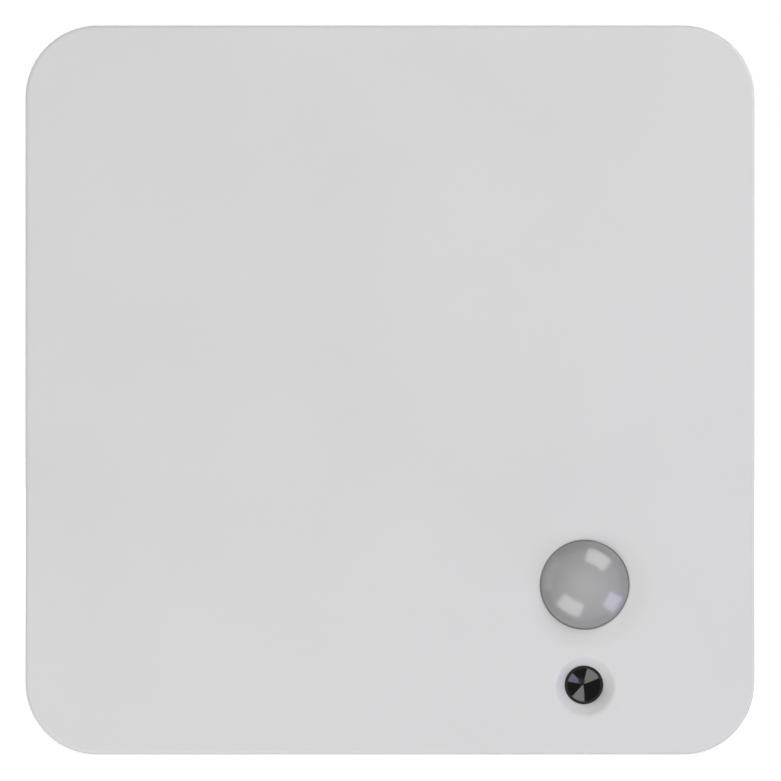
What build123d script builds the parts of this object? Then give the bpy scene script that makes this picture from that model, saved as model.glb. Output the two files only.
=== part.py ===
from build123d import *
from math import acos, asin, atan, cos, degrees, sin, sqrt
import os

# A battery-powered occupancy sensor for a wall: a back plate, and a sensor unit that snaps over it.
# The origin is the middle of the plate's wall face. +X is right as seen from the front, +Z is up and
# the front looks along -Y. Every depth below is a distance from the wall, all sizes are millimetres.

os.makedirs("parts", exist_ok=True)

# Housing
body_width = 86.0
corner_radius = 8.5
edge_radius = 0.5
side_wall = 2.0
face_wall = 2.0
rim_gap = 0.3
floor_chamfer = 0.8

# Lens, its dish in the face, and the infrared sensor that the lens fits over
lens_wall = 0.6
lens_zones = 3
lens_skirt_clearance = 0.09
lens_ball_radius = 6.8
lens_rise = 2.0
lens_flange = 1.4
flange_thickness = 0.8
lens_clearance = 0.07
dish_radius = 7.5
dish_depth = 0.45
dish_lip_radius = 3.5
locator_count = 4
locator_start = 45.0
locator_thickness = 1.1
locator_length = 4.0
locator_height = 1.7
locator_clearance = 0.1
pir_radius = 4.1
pir_flange = 0.45
pir_flange_thickness = 0.7
pir_skin = 0.25
pir_clearance = 0.35
pir_edge_chamfer = 0.3
pir_window_width = 4.0
pir_window_height = 3.0
pir_pane_margin = 0.6
pir_pane_thickness = 0.5
lead_count = 3
lead_start = 45.0
lead_sweep = 180.0
lead_radius = 0.25
lead_sides = 6
lead_ring_radius = 2.54
lead_tail = 1.3
lead_post = 0.6
lead_clearance = 0.12

# Light guide and the light sensor behind it
guide_inset = 8.08
guide_radius = 2.25
guide_rim = 0.3
guide_sink = 1.7
guide_cone_depth = 1.17
guide_flange = 0.95
guide_clearance = 0.04
guide_margin = 0.91
guide_recess_radius = 3.5
guide_recess_depth = 1.8
guide_lip_radius = 0.6
guide_gap = 0.2
light_sensor_size = 2.0
light_sensor_height = 0.6

# Circuit board and its screws
board_margin = 3.0
board_radius = 3.0
board_thickness = 1.6
board_gap = 2.5
boss_inset = 5.0
boss_radius = 2.5
rest_rib_length = 5.0
rest_rib_thickness = 1.2
screw_radius = 0.8
screw_clearance = 0.35
screw_thread_clearance = 0.03
screw_bite = 3.0
screw_end_clearance = 0.15
screw_head_radius = 1.9
screw_head_height = 1.3

# Cells, holder and contacts
cell_radius = 7.15
cell_length = 50.5
cell_clearance = 0.25
cell_web = 1.4
cell_room = 1.25
nub_radius = 2.75
nub_height = 1.2
spring_length = 4.1
spring_turns = 2.0
spring_wire_sides = 4
spring_wire_radius = 0.35
spring_large_radius = 4.3
spring_small_radius = 2.6
contact_thickness = 0.4
contact_width = 12.0
contact_height = 12.5
contact_slack = 0.1
dimple_radius = 2.0
dimple_height = 0.6
dimple_taper = 25.0
tab_width = 2.0
tab_tail = 0.6
tab_clearance = 0.25
holder_wall = 1.5
holder_floor = 0.9
holder_top_margin = 7.0
clip_width = 8.0
clip_spacing = 28.0
clip_height = 2.6
end_wall_height = 5.4
holder_corner_radius = 1.0
floor_slot_length = 22.0
floor_slot_width = 6.0
peg_radius = 0.75
peg_clearance = 0.1
peg_spacing = 44.0
peg_tail = 0.6

# Back plate, its snap arms and the slots for wall screws
plate_thickness = 2.0
plate_clearance = 0.3
plate_rib = 1.2
plate_rib_height = 2.0
stiffener_spacing = 26.0
stiffener_length = 70.0
stiffener_width = 1.2
stiffener_height = 1.2
snap_spacing = 50.0
arm_width = 10.0
arm_thickness = 1.4
arm_inset = 1.4
arm_relief = 1.5
hook_height = 1.2
hook_flat = 0.6
hook_lead = 2.0
snap_gap = 0.3
ledge_depth = 8.2
ledge_thickness = 1.1
ledge_height = 1.1
ledge_side_gap = 1.0
ledge_lead = 0.5
slot_spacing = 60.0
slot_length = 8.0
slot_width = 4.2
saddle_thickness = 1.4
saddle_width = 9.0
saddle_spacing = 26.0
saddle_height = 1.2
saddle_clearance = 0.3

# Ribs, vents and notch of the cover
edge_rib_thickness = 1.2
edge_rib_spacing = 36.0
edge_rib_rear = 13.0
edge_rib_clearance = 0.2
vent_count = 9
vent_pitch = 2.8
vent_width = 1.2
vent_length = 6.5
vent_margin = 0.15
notch_width = 9.0
notch_depth = 1.6

# Parts on the rear of the board. A row hangs below the holder, each piece a gap to the right of the
# last, and the rest are placed from the board's lower left corner.
switch_gap = 12.0
switch_drop = 3.0
switch_size = 6.0
switch_height = 3.5
button_radius = 1.75
button_clearance = 0.05
button_seat = 1.0
button_proud = 1.6
button_travel = 0.25
button_end_clearance = 0.1
button_edge_chamfer = 0.25
module_gap = 9.0
module_drop = 1.5
module_width = 16.0
module_length = 24.0
module_thickness = 0.8
shield_width = 14.0
shield_length = 16.5
shield_height = 1.8
shield_edge_chamfer = 0.2
shield_margin = 1.0
antenna_width = 9.0
antenna_length = 2.2
antenna_height = 1.0
antenna_margin = 1.2
climate_left = 33.0
climate_up = 4.6
climate_size = 2.5
climate_height = 0.9
relief_width = 1.0
relief_gap = 1.4
relief_length = 6.0
relief_bridge = 0.7
capacitor_gap = 1.8
capacitor_drop = 1.7
capacitor_radius = 3.15
capacitor_height = 5.4
capacitor_edge_chamfer = 0.4
capacitor_base_size = 6.6
capacitor_base_height = 1.0
controller_left = 44.0
controller_up = 13.0
controller_size = 6.0
controller_height = 0.9
amplifier_gap = 4.2
amplifier_drop = 3.0
amplifier_length = 5.0
amplifier_width = 4.0
amplifier_height = 1.5
package_chamfer = 0.2
crystal_left = 34.0
crystal_up = 16.0
crystal_length = 3.2
crystal_width = 2.5
crystal_height = 0.8
led_gap = 3.1
led_length = 1.6
led_width = 0.8
led_height = 0.7
chip_left = 46.0
chip_up = 4.5
chip_columns = 4
chip_rows = 3
chip_pitch = 2.4
chip_length = 1.6
chip_width = 0.8
chip_height = 0.55

# Depths and places that follow from the sizes above
inner_width = body_width - 2 * side_wall
inner_radius = corner_radius - side_wall
channel_radius = cell_radius + cell_clearance
body_depth = plate_thickness + stiffener_height + cell_room + cell_radius + channel_radius
body_depth += holder_floor + board_thickness + board_gap + face_wall
face_inner = body_depth - face_wall
board_front = face_inner - board_gap
board_rear = board_front - board_thickness
board_width = inner_width - 2 * board_margin
pir_flange_radius = pir_radius + pir_flange
lens_radius = pir_flange_radius + lens_skirt_clearance + lens_wall
lens_flange_radius = lens_radius + lens_flange
locator_reach = lens_flange_radius + locator_clearance + locator_thickness
guide_flange_radius = guide_radius + guide_flange
lens_inset = guide_inset + guide_flange_radius + guide_margin + locator_reach
lens_x = body_width / 2 - lens_inset
lens_z = lens_inset - body_width / 2
guide_z = guide_inset - body_width / 2
dome_top = body_depth + lens_rise
ball_depth = dome_top - lens_ball_radius
boss_reach = board_width / 2 - boss_inset
screw_places = [(-boss_reach, boss_reach), (boss_reach, -boss_reach)]
rest_places = [(boss_reach, boss_reach), (-boss_reach, -boss_reach)]
holder_length = cell_length + spring_length + dimple_height + 2 * contact_thickness + 2 * holder_wall
holder_length += 2 * contact_slack
cell_pitch = 2 * channel_radius + cell_web
holder_width = cell_pitch + 2 * (channel_radius + holder_wall)
holder_z = board_width / 2 - holder_top_margin - holder_width / 2
holder_low = holder_z - holder_width / 2
cell_depth = board_rear - holder_floor - channel_radius
cell_rows = {"upper": (holder_z + cell_pitch / 2, 1), "lower": (holder_z - cell_pitch / 2, -1)}
contact_face = holder_length / 2 - holder_wall - contact_slack - contact_thickness
channel_half = contact_face - contact_slack
plate_width = inner_width - 2 * plate_clearance
plate_radius = inner_radius - plate_clearance
arm_outer = plate_width / 2 - arm_inset
hook_depth = ledge_depth + ledge_thickness + snap_gap
arm_tip = hook_depth + hook_flat + hook_lead
corner_x = -board_width / 2
corner_z = -board_width / 2
vent_depth = board_rear - vent_margin - vent_length / 2
module_x = corner_x + module_gap + module_width / 2
module_z = holder_low - module_drop - module_length / 2
switch_x = module_x + module_width / 2 + switch_gap + switch_size / 2
switch_z = holder_low - switch_drop - switch_size / 2
led_x = switch_x + switch_size / 2 + led_gap + led_width / 2
capacitor_x = led_x + led_width / 2 + capacitor_gap + capacitor_base_size / 2
capacitor_z = holder_low - capacitor_drop - capacitor_base_size / 2
amplifier_x = capacitor_x + capacitor_base_size / 2 + amplifier_gap + amplifier_length / 2
amplifier_z = holder_low - amplifier_drop - amplifier_width / 2


def depth_plane(distance):
    return Plane.XZ.offset(distance)


def face_plane(x, z, distance):
    return Plane(origin=(x, -distance, z), x_dir=(1, 0, 0), z_dir=(0, -1, 0))


def profile_plane(x, z):
    # Local x is a radius from the axis through (x, z), and local y is the distance from the wall.
    return Plane(origin=(x, 0, z), x_dir=(1, 0, 0), z_dir=(0, 0, -1))


def depth_axis(x, z):
    return Axis((x, 0, z), (0, -1, 0))


# Front cover: a moulded box, open towards the wall
lens_hole_radius = lens_radius + lens_clearance
guide_hole_radius = guide_radius + guide_clearance
dish_angle = 2 * degrees(atan((dish_radius - lens_hole_radius) / dish_depth))
guide_recess_angle = 2 * degrees(atan((guide_recess_radius - guide_hole_radius) / guide_recess_depth))

with BuildPart() as front_cover:
    with BuildSketch(depth_plane(rim_gap)):
        RectangleRounded(body_width, body_width, corner_radius)
    extrude(amount=body_depth - rim_gap)
    fillet(front_cover.faces().sort_by(Axis.Y)[0].edges(), edge_radius)

    with BuildSketch(depth_plane(rim_gap)):
        RectangleRounded(inner_width, inner_width, inner_radius)
    extrude(amount=face_inner - rim_gap, mode=Mode.SUBTRACT)
    inner_face = front_cover.faces().filter_by(Axis.Y).sort_by(Axis.Y)[1]
    chamfer(inner_face.edges(), floor_chamfer)

    # Bosses for the board's two screws, crossed ribs in the other corners, and ribs that centre the lens
    with BuildSketch(depth_plane(board_front)):
        with Locations(*screw_places):
            Circle(boss_radius)
        with Locations(*rest_places):
            Rectangle(rest_rib_length, rest_rib_thickness)
            Rectangle(rest_rib_thickness, rest_rib_length)
    extrude(amount=board_gap)
    with BuildSketch(depth_plane(face_inner - locator_height)):
        with Locations((lens_x, lens_z)):
            with PolarLocations(locator_reach - locator_thickness / 2, locator_count, locator_start):
                Rectangle(locator_thickness, locator_length)
    extrude(amount=locator_height)
    with BuildSketch(depth_plane(board_front)):
        with Locations(*screw_places):
            Circle(screw_radius + screw_thread_clearance)
    extrude(amount=screw_bite + screw_end_clearance, mode=Mode.SUBTRACT)

    # Ribs along the inner walls that hold the board sideways
    rib_height = (inner_width - board_width) / 2 - edge_rib_clearance
    with BuildSketch(depth_plane(edge_rib_rear)):
        with GridLocations(inner_width - rib_height, edge_rib_spacing, 2, 2):
            Rectangle(rib_height, edge_rib_thickness)
        with GridLocations(edge_rib_spacing, inner_width - rib_height, 2, 2):
            Rectangle(edge_rib_thickness, rib_height)
    extrude(amount=face_inner - edge_rib_rear)

    # Ledges that the plate's hooks hold, sloped where the hooks ride up
    ledge_length = arm_width + 2 * ledge_side_gap
    for side in (-1, 1):
        with BuildSketch(Plane.YZ.offset(side * snap_spacing / 2 - ledge_length / 2)):
            with BuildLine():
                Polyline(
                    (-ledge_depth, inner_width / 2),
                    (-ledge_depth - ledge_lead, inner_width / 2 - ledge_height),
                    (-ledge_depth - ledge_thickness, inner_width / 2 - ledge_height),
                    (-ledge_depth - ledge_thickness, inner_width / 2),
                    close=True,
                )
            make_face()
            mirror(about=Plane.XZ)
        extrude(amount=ledge_length)

    # Dished seat of the lens and countersunk seat of the light guide
    with Locations(face_plane(lens_x, lens_z, body_depth)):
        CounterSinkHole(lens_hole_radius, dish_radius, body_depth, dish_angle)
    with Locations(face_plane(lens_x, guide_z, body_depth)):
        CounterSinkHole(guide_hole_radius, guide_recess_radius, body_depth, guide_recess_angle)
    seats = front_cover.faces().sort_by(Axis.Y)[0].inner_wires().sort_by(SortBy.LENGTH)
    fillet(seats[0].edges(), guide_lip_radius)
    seats = front_cover.faces().sort_by(Axis.Y)[0].inner_wires().sort_by(SortBy.LENGTH)
    fillet(seats[-1].edges(), dish_lip_radius)

    # Vents through the upper and lower walls, and a notch for prising the cover off
    with BuildSketch(Plane.XY.offset(-body_width / 2)):
        with Locations((0, -vent_depth)):
            with GridLocations(vent_pitch, 0, vent_count, 1):
                Rectangle(vent_width, vent_length)
    extrude(amount=body_width, mode=Mode.SUBTRACT)
    with BuildSketch(depth_plane(rim_gap)):
        with Locations((0, (side_wall - body_width) / 2)):
            Rectangle(notch_width, side_wall)
    extrude(amount=notch_depth, mode=Mode.SUBTRACT)

front_cover.part.label = "front_cover"
export_step(front_cover.part, "parts/front_cover.step")

# Back plate: a flat moulding that is screwed to the wall
with BuildPart() as back_plate:
    with BuildSketch(depth_plane(0)):
        RectangleRounded(plate_width, plate_width, plate_radius)
        with GridLocations(slot_spacing, 0, 2, 1):
            SlotOverall(slot_length, slot_width, mode=Mode.SUBTRACT)
        with GridLocations(0, slot_spacing, 1, 2):
            SlotOverall(slot_length, slot_width, rotation=90, mode=Mode.SUBTRACT)
    extrude(amount=plate_thickness)

    # Perimeter rib, left out around each arm, and stiffeners
    with BuildSketch(depth_plane(plate_thickness)):
        RectangleRounded(plate_width, plate_width, plate_radius)
        RectangleRounded(
            plate_width - 2 * plate_rib, plate_width - 2 * plate_rib, plate_radius - plate_rib,
            mode=Mode.SUBTRACT,
        )
        with GridLocations(snap_spacing, plate_width, 2, 2):
            Rectangle(arm_width + 2 * arm_relief, 4 * plate_rib, mode=Mode.SUBTRACT)
    extrude(amount=plate_rib_height)
    with BuildSketch(depth_plane(plate_thickness)):
        with GridLocations(stiffener_spacing, 0, 2, 1):
            Rectangle(stiffener_width, stiffener_length)
        with GridLocations(0, stiffener_spacing, 1, 2):
            Rectangle(stiffener_length, stiffener_width)
    extrude(amount=stiffener_height)

    # Snap arms and their hooks
    with BuildSketch(depth_plane(plate_thickness)):
        with GridLocations(snap_spacing, 2 * arm_outer - arm_thickness, 2, 2):
            Rectangle(arm_width, arm_thickness)
    extrude(amount=arm_tip - plate_thickness)
    for side in (-1, 1):
        with BuildSketch(Plane.YZ.offset(side * snap_spacing / 2 - arm_width / 2)):
            with BuildLine():
                Polyline(
                    (-hook_depth, arm_outer),
                    (-hook_depth, arm_outer + hook_height),
                    (-hook_depth - hook_flat, arm_outer + hook_height),
                    (-arm_tip, arm_outer),
                    close=True,
                )
            make_face()
            mirror(about=Plane.XZ)
        extrude(amount=arm_width)

    # Saddles that keep the cells in their holder
    with BuildSketch(depth_plane(plate_thickness)):
        for row_z, direction in cell_rows.values():
            with Locations((0, row_z)):
                with GridLocations(saddle_spacing, 0, 2, 1):
                    Rectangle(saddle_thickness, saddle_width)
    extrude(amount=cell_depth - cell_radius + saddle_height - plate_thickness)
    for row_z, direction in cell_rows.values():
        with BuildSketch(Plane.YZ.offset(-saddle_spacing)):
            with Locations((-cell_depth, row_z)):
                Circle(cell_radius + saddle_clearance)
        extrude(amount=2 * saddle_spacing, mode=Mode.SUBTRACT)

back_plate.part.label = "back_plate"
export_step(back_plate.part, "parts/back_plate.step")

# Lens: a thin translucent cap with conical zones inside, on a skirt that stands on the board
inner_ball = lens_ball_radius - lens_wall
inner_skirt = lens_radius - lens_wall
shoulder_angle = degrees(acos(lens_radius / lens_ball_radius))
shoulder_depth = ball_depth + sqrt(lens_ball_radius**2 - lens_radius**2)
zone_tilts = [asin(inner_skirt / inner_ball) * zone / lens_zones for zone in range(lens_zones + 1)]

with BuildPart() as lens_dome:
    with BuildSketch(profile_plane(lens_x, lens_z)):
        with BuildLine():
            CenterArc((0, ball_depth), lens_ball_radius, shoulder_angle, 90 - shoulder_angle)
            Polyline(
                (0, dome_top),
                *[(inner_ball * sin(tilt), ball_depth + inner_ball * cos(tilt)) for tilt in zone_tilts],
                (inner_skirt, board_front),
                (lens_radius, board_front),
                (lens_radius, face_inner - flange_thickness),
                (lens_flange_radius, face_inner - flange_thickness),
                (lens_flange_radius, face_inner),
                (lens_radius, face_inner),
                (lens_radius, shoulder_depth),
            )
        make_face()
    revolve(axis=depth_axis(lens_x, lens_z))

lens_dome.part.label = "lens_dome"
export_step(lens_dome.part, "parts/lens_dome.step")

# Infrared sensor: a can with a window, on a base with three leads
pir_can_depth = board_front + pir_flange_thickness
pir_top = ball_depth + sqrt(inner_ball**2 - pir_radius**2) - pir_clearance

with BuildPart() as pir_base:
    with BuildSketch(depth_plane(board_front)):
        with Locations((lens_x, lens_z)):
            Circle(pir_flange_radius)
            with PolarLocations(lead_ring_radius, lead_count, lead_start, lead_sweep, endpoint=True):
                RegularPolygon(lead_radius, lead_sides, mode=Mode.SUBTRACT)
    extrude(amount=pir_flange_thickness)

pir_base.part.label = "pir_base"
export_step(pir_base.part, "parts/pir_base.step")

with BuildPart() as pir_can:
    with BuildSketch(depth_plane(pir_can_depth)):
        with Locations((lens_x, lens_z)):
            Circle(pir_radius)
    extrude(amount=pir_top - pir_can_depth)
    chamfer(pir_can.faces().sort_by(Axis.Y)[0].edges(), pir_edge_chamfer)
    with BuildSketch(depth_plane(pir_can_depth)):
        with Locations((lens_x, lens_z)):
            Circle(pir_radius - pir_skin)
    extrude(amount=pir_top - pir_skin - pir_can_depth, mode=Mode.SUBTRACT)
    with BuildSketch(depth_plane(pir_can_depth)):
        with Locations((lens_x, lens_z)):
            Rectangle(pir_window_width, pir_window_height)
    extrude(amount=pir_top - pir_can_depth, mode=Mode.SUBTRACT)

pir_can.part.label = "pir_can"
export_step(pir_can.part, "parts/pir_can.step")

with BuildPart() as pir_window:
    with BuildSketch(depth_plane(pir_top - pir_skin - pir_pane_thickness)):
        with Locations((lens_x, lens_z)):
            Rectangle(pir_window_width + 2 * pir_pane_margin, pir_window_height + 2 * pir_pane_margin)
    extrude(amount=pir_pane_thickness)

pir_window.part.label = "pir_window"
export_step(pir_window.part, "parts/pir_window.step")

with BuildPart() as pir_leads:
    with BuildSketch(depth_plane(board_rear - lead_tail)):
        with Locations((lens_x, lens_z)):
            with PolarLocations(lead_ring_radius, lead_count, lead_start, lead_sweep, endpoint=True):
                RegularPolygon(lead_radius, lead_sides)
    extrude(amount=pir_can_depth + lead_post - board_rear + lead_tail)

pir_leads.part.label = "pir_leads"
export_step(pir_leads.part, "parts/pir_leads.step")

# Light guide: a dark plug with a hollow cone in its front, over the light sensor
guide_top = body_depth - guide_sink
guide_rear = board_front + light_sensor_height + guide_gap

with BuildPart() as light_guide:
    with BuildSketch(profile_plane(lens_x, guide_z)):
        with BuildLine():
            Polyline(
                (0, guide_rear),
                (guide_radius, guide_rear),
                (guide_radius, face_inner - flange_thickness),
                (guide_flange_radius, face_inner - flange_thickness),
                (guide_flange_radius, face_inner),
                (guide_radius, face_inner),
                (guide_radius, guide_top),
                (guide_radius - guide_rim, guide_top),
                (0, guide_top - guide_cone_depth),
                close=True,
            )
        make_face()
    revolve(axis=depth_axis(lens_x, guide_z))

light_guide.part.label = "light_guide"
export_step(light_guide.part, "parts/light_guide.step")

with BuildPart() as light_sensor:
    with BuildSketch(depth_plane(board_front)):
        with Locations((lens_x, guide_z)):
            Rectangle(light_sensor_size, light_sensor_size)
    extrude(amount=light_sensor_height)
    chamfer(light_sensor.faces().sort_by(Axis.Y)[0].edges(), package_chamfer)

light_sensor.part.label = "light_sensor"
export_step(light_sensor.part, "parts/light_sensor.step")

# Circuit board, with holes for screws, leads, pegs and tabs, and slots that keep heat off the
# climate sensor
climate_x = corner_x + climate_left
climate_z = corner_z + climate_up
relief_reach = climate_size / 2 + relief_gap + relief_width / 2
relief_top_length = 2 * (relief_reach - relief_width / 2 - relief_bridge)
contact_middle = contact_face + contact_thickness / 2

with BuildPart() as circuit_board:
    with BuildSketch(depth_plane(board_rear)):
        RectangleRounded(board_width, board_width, board_radius)
        with Locations(*screw_places):
            Circle(screw_radius + screw_clearance, mode=Mode.SUBTRACT)
        with Locations((lens_x, lens_z)):
            with PolarLocations(lead_ring_radius, lead_count, lead_start, lead_sweep, endpoint=True):
                RegularPolygon(lead_radius + lead_clearance, lead_sides, mode=Mode.SUBTRACT)
        with Locations((0, holder_z)):
            with GridLocations(peg_spacing, 0, 2, 1):
                Circle(peg_radius + peg_clearance, mode=Mode.SUBTRACT)
            with GridLocations(2 * contact_middle, cell_pitch, 2, 2):
                Rectangle(
                    contact_thickness + 2 * tab_clearance, tab_width + 2 * tab_clearance,
                    mode=Mode.SUBTRACT,
                )
        with Locations((climate_x, climate_z)):
            with GridLocations(2 * relief_reach, 0, 2, 1):
                Rectangle(relief_width, relief_length, mode=Mode.SUBTRACT)
            with Locations((0, relief_reach)):
                Rectangle(relief_top_length, relief_width, mode=Mode.SUBTRACT)
    extrude(amount=board_thickness)

circuit_board.part.label = "circuit_board"
export_step(circuit_board.part, "parts/circuit_board.step")

with BuildPart() as board_screws:
    with BuildSketch(depth_plane(board_rear - screw_head_height)):
        with Locations(*screw_places):
            Circle(screw_head_radius)
    extrude(amount=screw_head_height)
    with BuildSketch(depth_plane(board_rear)):
        with Locations(*screw_places):
            Circle(screw_radius)
    extrude(amount=board_thickness + screw_bite)

board_screws.part.label = "board_screws"
export_step(board_screws.part, "parts/board_screws.step")

# Battery holder: two channels open towards the wall, with clips, end walls and pegs into the board
with BuildPart() as battery_holder:
    with BuildSketch(depth_plane(cell_depth)):
        with Locations((0, holder_z)):
            RectangleRounded(holder_length, holder_width, holder_corner_radius)
    extrude(amount=board_rear - cell_depth)
    with BuildSketch(depth_plane(cell_depth - clip_height)):
        with Locations((0, holder_z)):
            with GridLocations(clip_spacing, 0, 2, 1):
                Rectangle(clip_width, holder_width)
    extrude(amount=clip_height)
    with BuildSketch(depth_plane(cell_depth - end_wall_height)):
        with Locations((0, holder_z)):
            RectangleRounded(holder_length, holder_width, holder_corner_radius)
            Rectangle(2 * channel_half - 2 * holder_wall, holder_width, mode=Mode.SUBTRACT)
    extrude(amount=end_wall_height)
    for row_z, direction in cell_rows.values():
        with BuildSketch(Plane.YZ.offset(-channel_half)):
            with Locations((-cell_depth, row_z)):
                Circle(channel_radius)
            with Locations((-cell_depth + end_wall_height / 2, row_z)):
                Rectangle(end_wall_height, 2 * channel_radius)
        extrude(amount=2 * channel_half, mode=Mode.SUBTRACT)
    # Pockets of the contact plates, the left one across both channels for the bridge
    with BuildSketch(depth_plane(board_rear - holder_floor)):
        with Locations((0, holder_z)):
            with GridLocations(2 * contact_middle, cell_pitch, 2, 2):
                Rectangle(contact_thickness + 2 * contact_slack, contact_width + 2 * contact_slack)
            with Locations((-contact_middle, 0)):
                Rectangle(contact_thickness + 2 * contact_slack, cell_pitch + contact_width)
    extrude(amount=-body_depth, mode=Mode.SUBTRACT)
    with BuildSketch(depth_plane(board_rear)):
        with Locations((0, holder_z)):
            with GridLocations(2 * contact_middle, cell_pitch, 2, 2):
                Rectangle(contact_thickness + 2 * contact_slack, tab_width + 2 * tab_clearance)
            with GridLocations(0, cell_pitch, 1, 2):
                Rectangle(floor_slot_length, floor_slot_width)
    extrude(amount=-channel_radius, mode=Mode.SUBTRACT)
    with BuildSketch(depth_plane(board_rear)):
        with Locations((0, holder_z)):
            with GridLocations(peg_spacing, 0, 2, 1):
                Circle(peg_radius)
    extrude(amount=board_thickness + peg_tail)

battery_holder.part.label = "battery_holder"
export_step(battery_holder.part, "parts/battery_holder.step")

# Contact plates: one for each end of the pair, and a bridge that joins the cells in series
tab_length = holder_floor + board_thickness + tab_tail
contact_ends = {
    "positive_contact": (1, [cell_rows["upper"][0]], cell_rows["upper"][0]),
    "negative_contact": (1, [cell_rows["lower"][0]], None),
    "bridge_contact": (-1, [row_z for row_z, direction in cell_rows.values()], cell_rows["lower"][0]),
}
contact_front = board_rear - holder_floor

for contact_name, (end, plate_rows, dimple_z) in contact_ends.items():
    plate_height = max(plate_rows) - min(plate_rows) + contact_width
    with BuildPart() as contact:
        with BuildSketch(Plane.YZ.offset(end * contact_face)):
            with Locations((contact_height / 2 - contact_front, sum(plate_rows) / len(plate_rows))):
                Rectangle(contact_height, plate_height)
            for row_z in plate_rows:
                with Locations((-contact_front - tab_length / 2, row_z)):
                    Rectangle(tab_length, tab_width)
        extrude(amount=end * contact_thickness)
        if dimple_z is not None:
            with BuildSketch(Plane.YZ.offset(end * contact_face)):
                with Locations((-cell_depth, dimple_z)):
                    Circle(dimple_radius)
            extrude(amount=-end * dimple_height, taper=dimple_taper)
    contact.part.label = contact_name
    export_step(contact.part, f"parts/{contact_name}.step")

# Cells and their springs: the upper cell's positive end points right, the lower one's left
shoulder_length = cell_length - nub_height
coil_height = spring_length - 2 * spring_wire_radius
coil_angle = degrees(atan((spring_large_radius - spring_small_radius) / coil_height))

for row, (row_z, direction) in cell_rows.items():
    rear_end = direction * (contact_face - dimple_height - cell_length)
    axis_point = (-cell_depth, row_z)
    with BuildPart() as battery:
        with BuildSketch(Plane.YZ.offset(rear_end)):
            with Locations(axis_point):
                Circle(cell_radius)
        extrude(amount=direction * shoulder_length)
        with BuildSketch(Plane.YZ.offset(rear_end + direction * shoulder_length)):
            with Locations(axis_point):
                Circle(nub_radius)
        extrude(amount=direction * nub_height)
    battery.part.label = f"{row}_battery"
    export_step(battery.part, f"parts/{row}_battery.step")

    coil_start = -direction * (contact_face - spring_wire_radius)
    with BuildPart() as spring:
        with BuildLine() as coil:
            Helix(
                pitch=coil_height / spring_turns,
                height=coil_height,
                radius=spring_large_radius,
                center=(coil_start, -cell_depth, row_z),
                direction=(direction, 0, 0),
                cone_angle=-coil_angle,
            )
        with BuildSketch(Plane(origin=coil.line @ 0, z_dir=coil.line % 0)):
            RegularPolygon(spring_wire_radius, spring_wire_sides)
        sweep(is_frenet=True)
    spring.part.label = f"{row}_spring"
    export_step(spring.part, f"parts/{row}_spring.step")

# Service switch and its button, which is pressed from the wall side
switch_rear = board_rear - switch_height

with BuildPart() as switch_body:
    with BuildSketch(depth_plane(switch_rear)):
        with Locations((switch_x, switch_z)):
            Rectangle(switch_size, switch_size)
    extrude(amount=switch_height)
    with BuildSketch(depth_plane(switch_rear)):
        with Locations((switch_x, switch_z)):
            Circle(button_radius + button_clearance)
    extrude(amount=button_seat + button_travel + button_end_clearance, mode=Mode.SUBTRACT)
    chamfer(switch_body.edges().filter_by(Axis.Y), package_chamfer)

switch_body.part.label = "switch_body"
export_step(switch_body.part, "parts/switch_body.step")

with BuildPart() as service_button:
    with BuildSketch(depth_plane(switch_rear - button_proud)):
        with Locations((switch_x, switch_z)):
            Circle(button_radius)
    extrude(amount=button_proud + button_seat)
    chamfer(service_button.faces().sort_by(Axis.Y)[-1].edges(), button_edge_chamfer)

service_button.part.label = "service_button"
export_step(service_button.part, "parts/service_button.step")

# Radio module: a small board with a metal shield and a ceramic antenna
module_rear = board_rear - module_thickness

with BuildPart() as radio_module:
    with BuildSketch(depth_plane(module_rear)):
        with Locations((module_x, module_z)):
            Rectangle(module_width, module_length)
    extrude(amount=module_thickness)

radio_module.part.label = "radio_module"
export_step(radio_module.part, "parts/radio_module.step")

shield_z = module_z + (module_length - shield_length) / 2 - shield_margin

with BuildPart() as radio_shield:
    with BuildSketch(depth_plane(module_rear - shield_height)):
        with Locations((module_x, shield_z)):
            Rectangle(shield_width, shield_length)
    extrude(amount=shield_height)
    chamfer(radio_shield.edges().filter_by(Axis.Y), shield_edge_chamfer)

radio_shield.part.label = "radio_shield"
export_step(radio_shield.part, "parts/radio_shield.step")

with BuildPart() as radio_antenna:
    with BuildSketch(depth_plane(module_rear - antenna_height)):
        with Locations((module_x, module_z - (module_length - antenna_length) / 2 + antenna_margin)):
            Rectangle(antenna_width, antenna_length)
    extrude(amount=antenna_height)

radio_antenna.part.label = "radio_antenna"
export_step(radio_antenna.part, "parts/radio_antenna.step")

# Climate sensor: a small package behind the lower vents
with BuildPart() as climate_sensor:
    with BuildSketch(depth_plane(board_rear - climate_height)):
        with Locations((climate_x, climate_z)):
            Rectangle(climate_size, climate_size)
    extrude(amount=climate_height)
    chamfer(climate_sensor.faces().sort_by(Axis.Y)[-1].edges(), package_chamfer)

climate_sensor.part.label = "climate_sensor"
export_step(climate_sensor.part, "parts/climate_sensor.step")

# Capacitor that feeds the radio's pulses: a can on a plastic base with two cut corners
with BuildPart() as capacitor_base:
    with BuildSketch(depth_plane(board_rear - capacitor_base_height)) as capacitor_outline:
        with Locations((capacitor_x, capacitor_z)):
            Rectangle(capacitor_base_size, capacitor_base_size)
        chamfer(capacitor_outline.vertices().group_by(Axis.Z)[0], capacitor_base_height)
    extrude(amount=capacitor_base_height)

capacitor_base.part.label = "capacitor_base"
export_step(capacitor_base.part, "parts/capacitor_base.step")

with BuildPart() as capacitor_can:
    with BuildSketch(depth_plane(board_rear - capacitor_base_height)):
        with Locations((capacitor_x, capacitor_z)):
            Circle(capacitor_radius)
    extrude(amount=-capacitor_height)
    chamfer(capacitor_can.faces().sort_by(Axis.Y)[-1].edges(), capacitor_edge_chamfer)

capacitor_can.part.label = "capacitor_can"
export_step(capacitor_can.part, "parts/capacitor_can.step")

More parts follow.
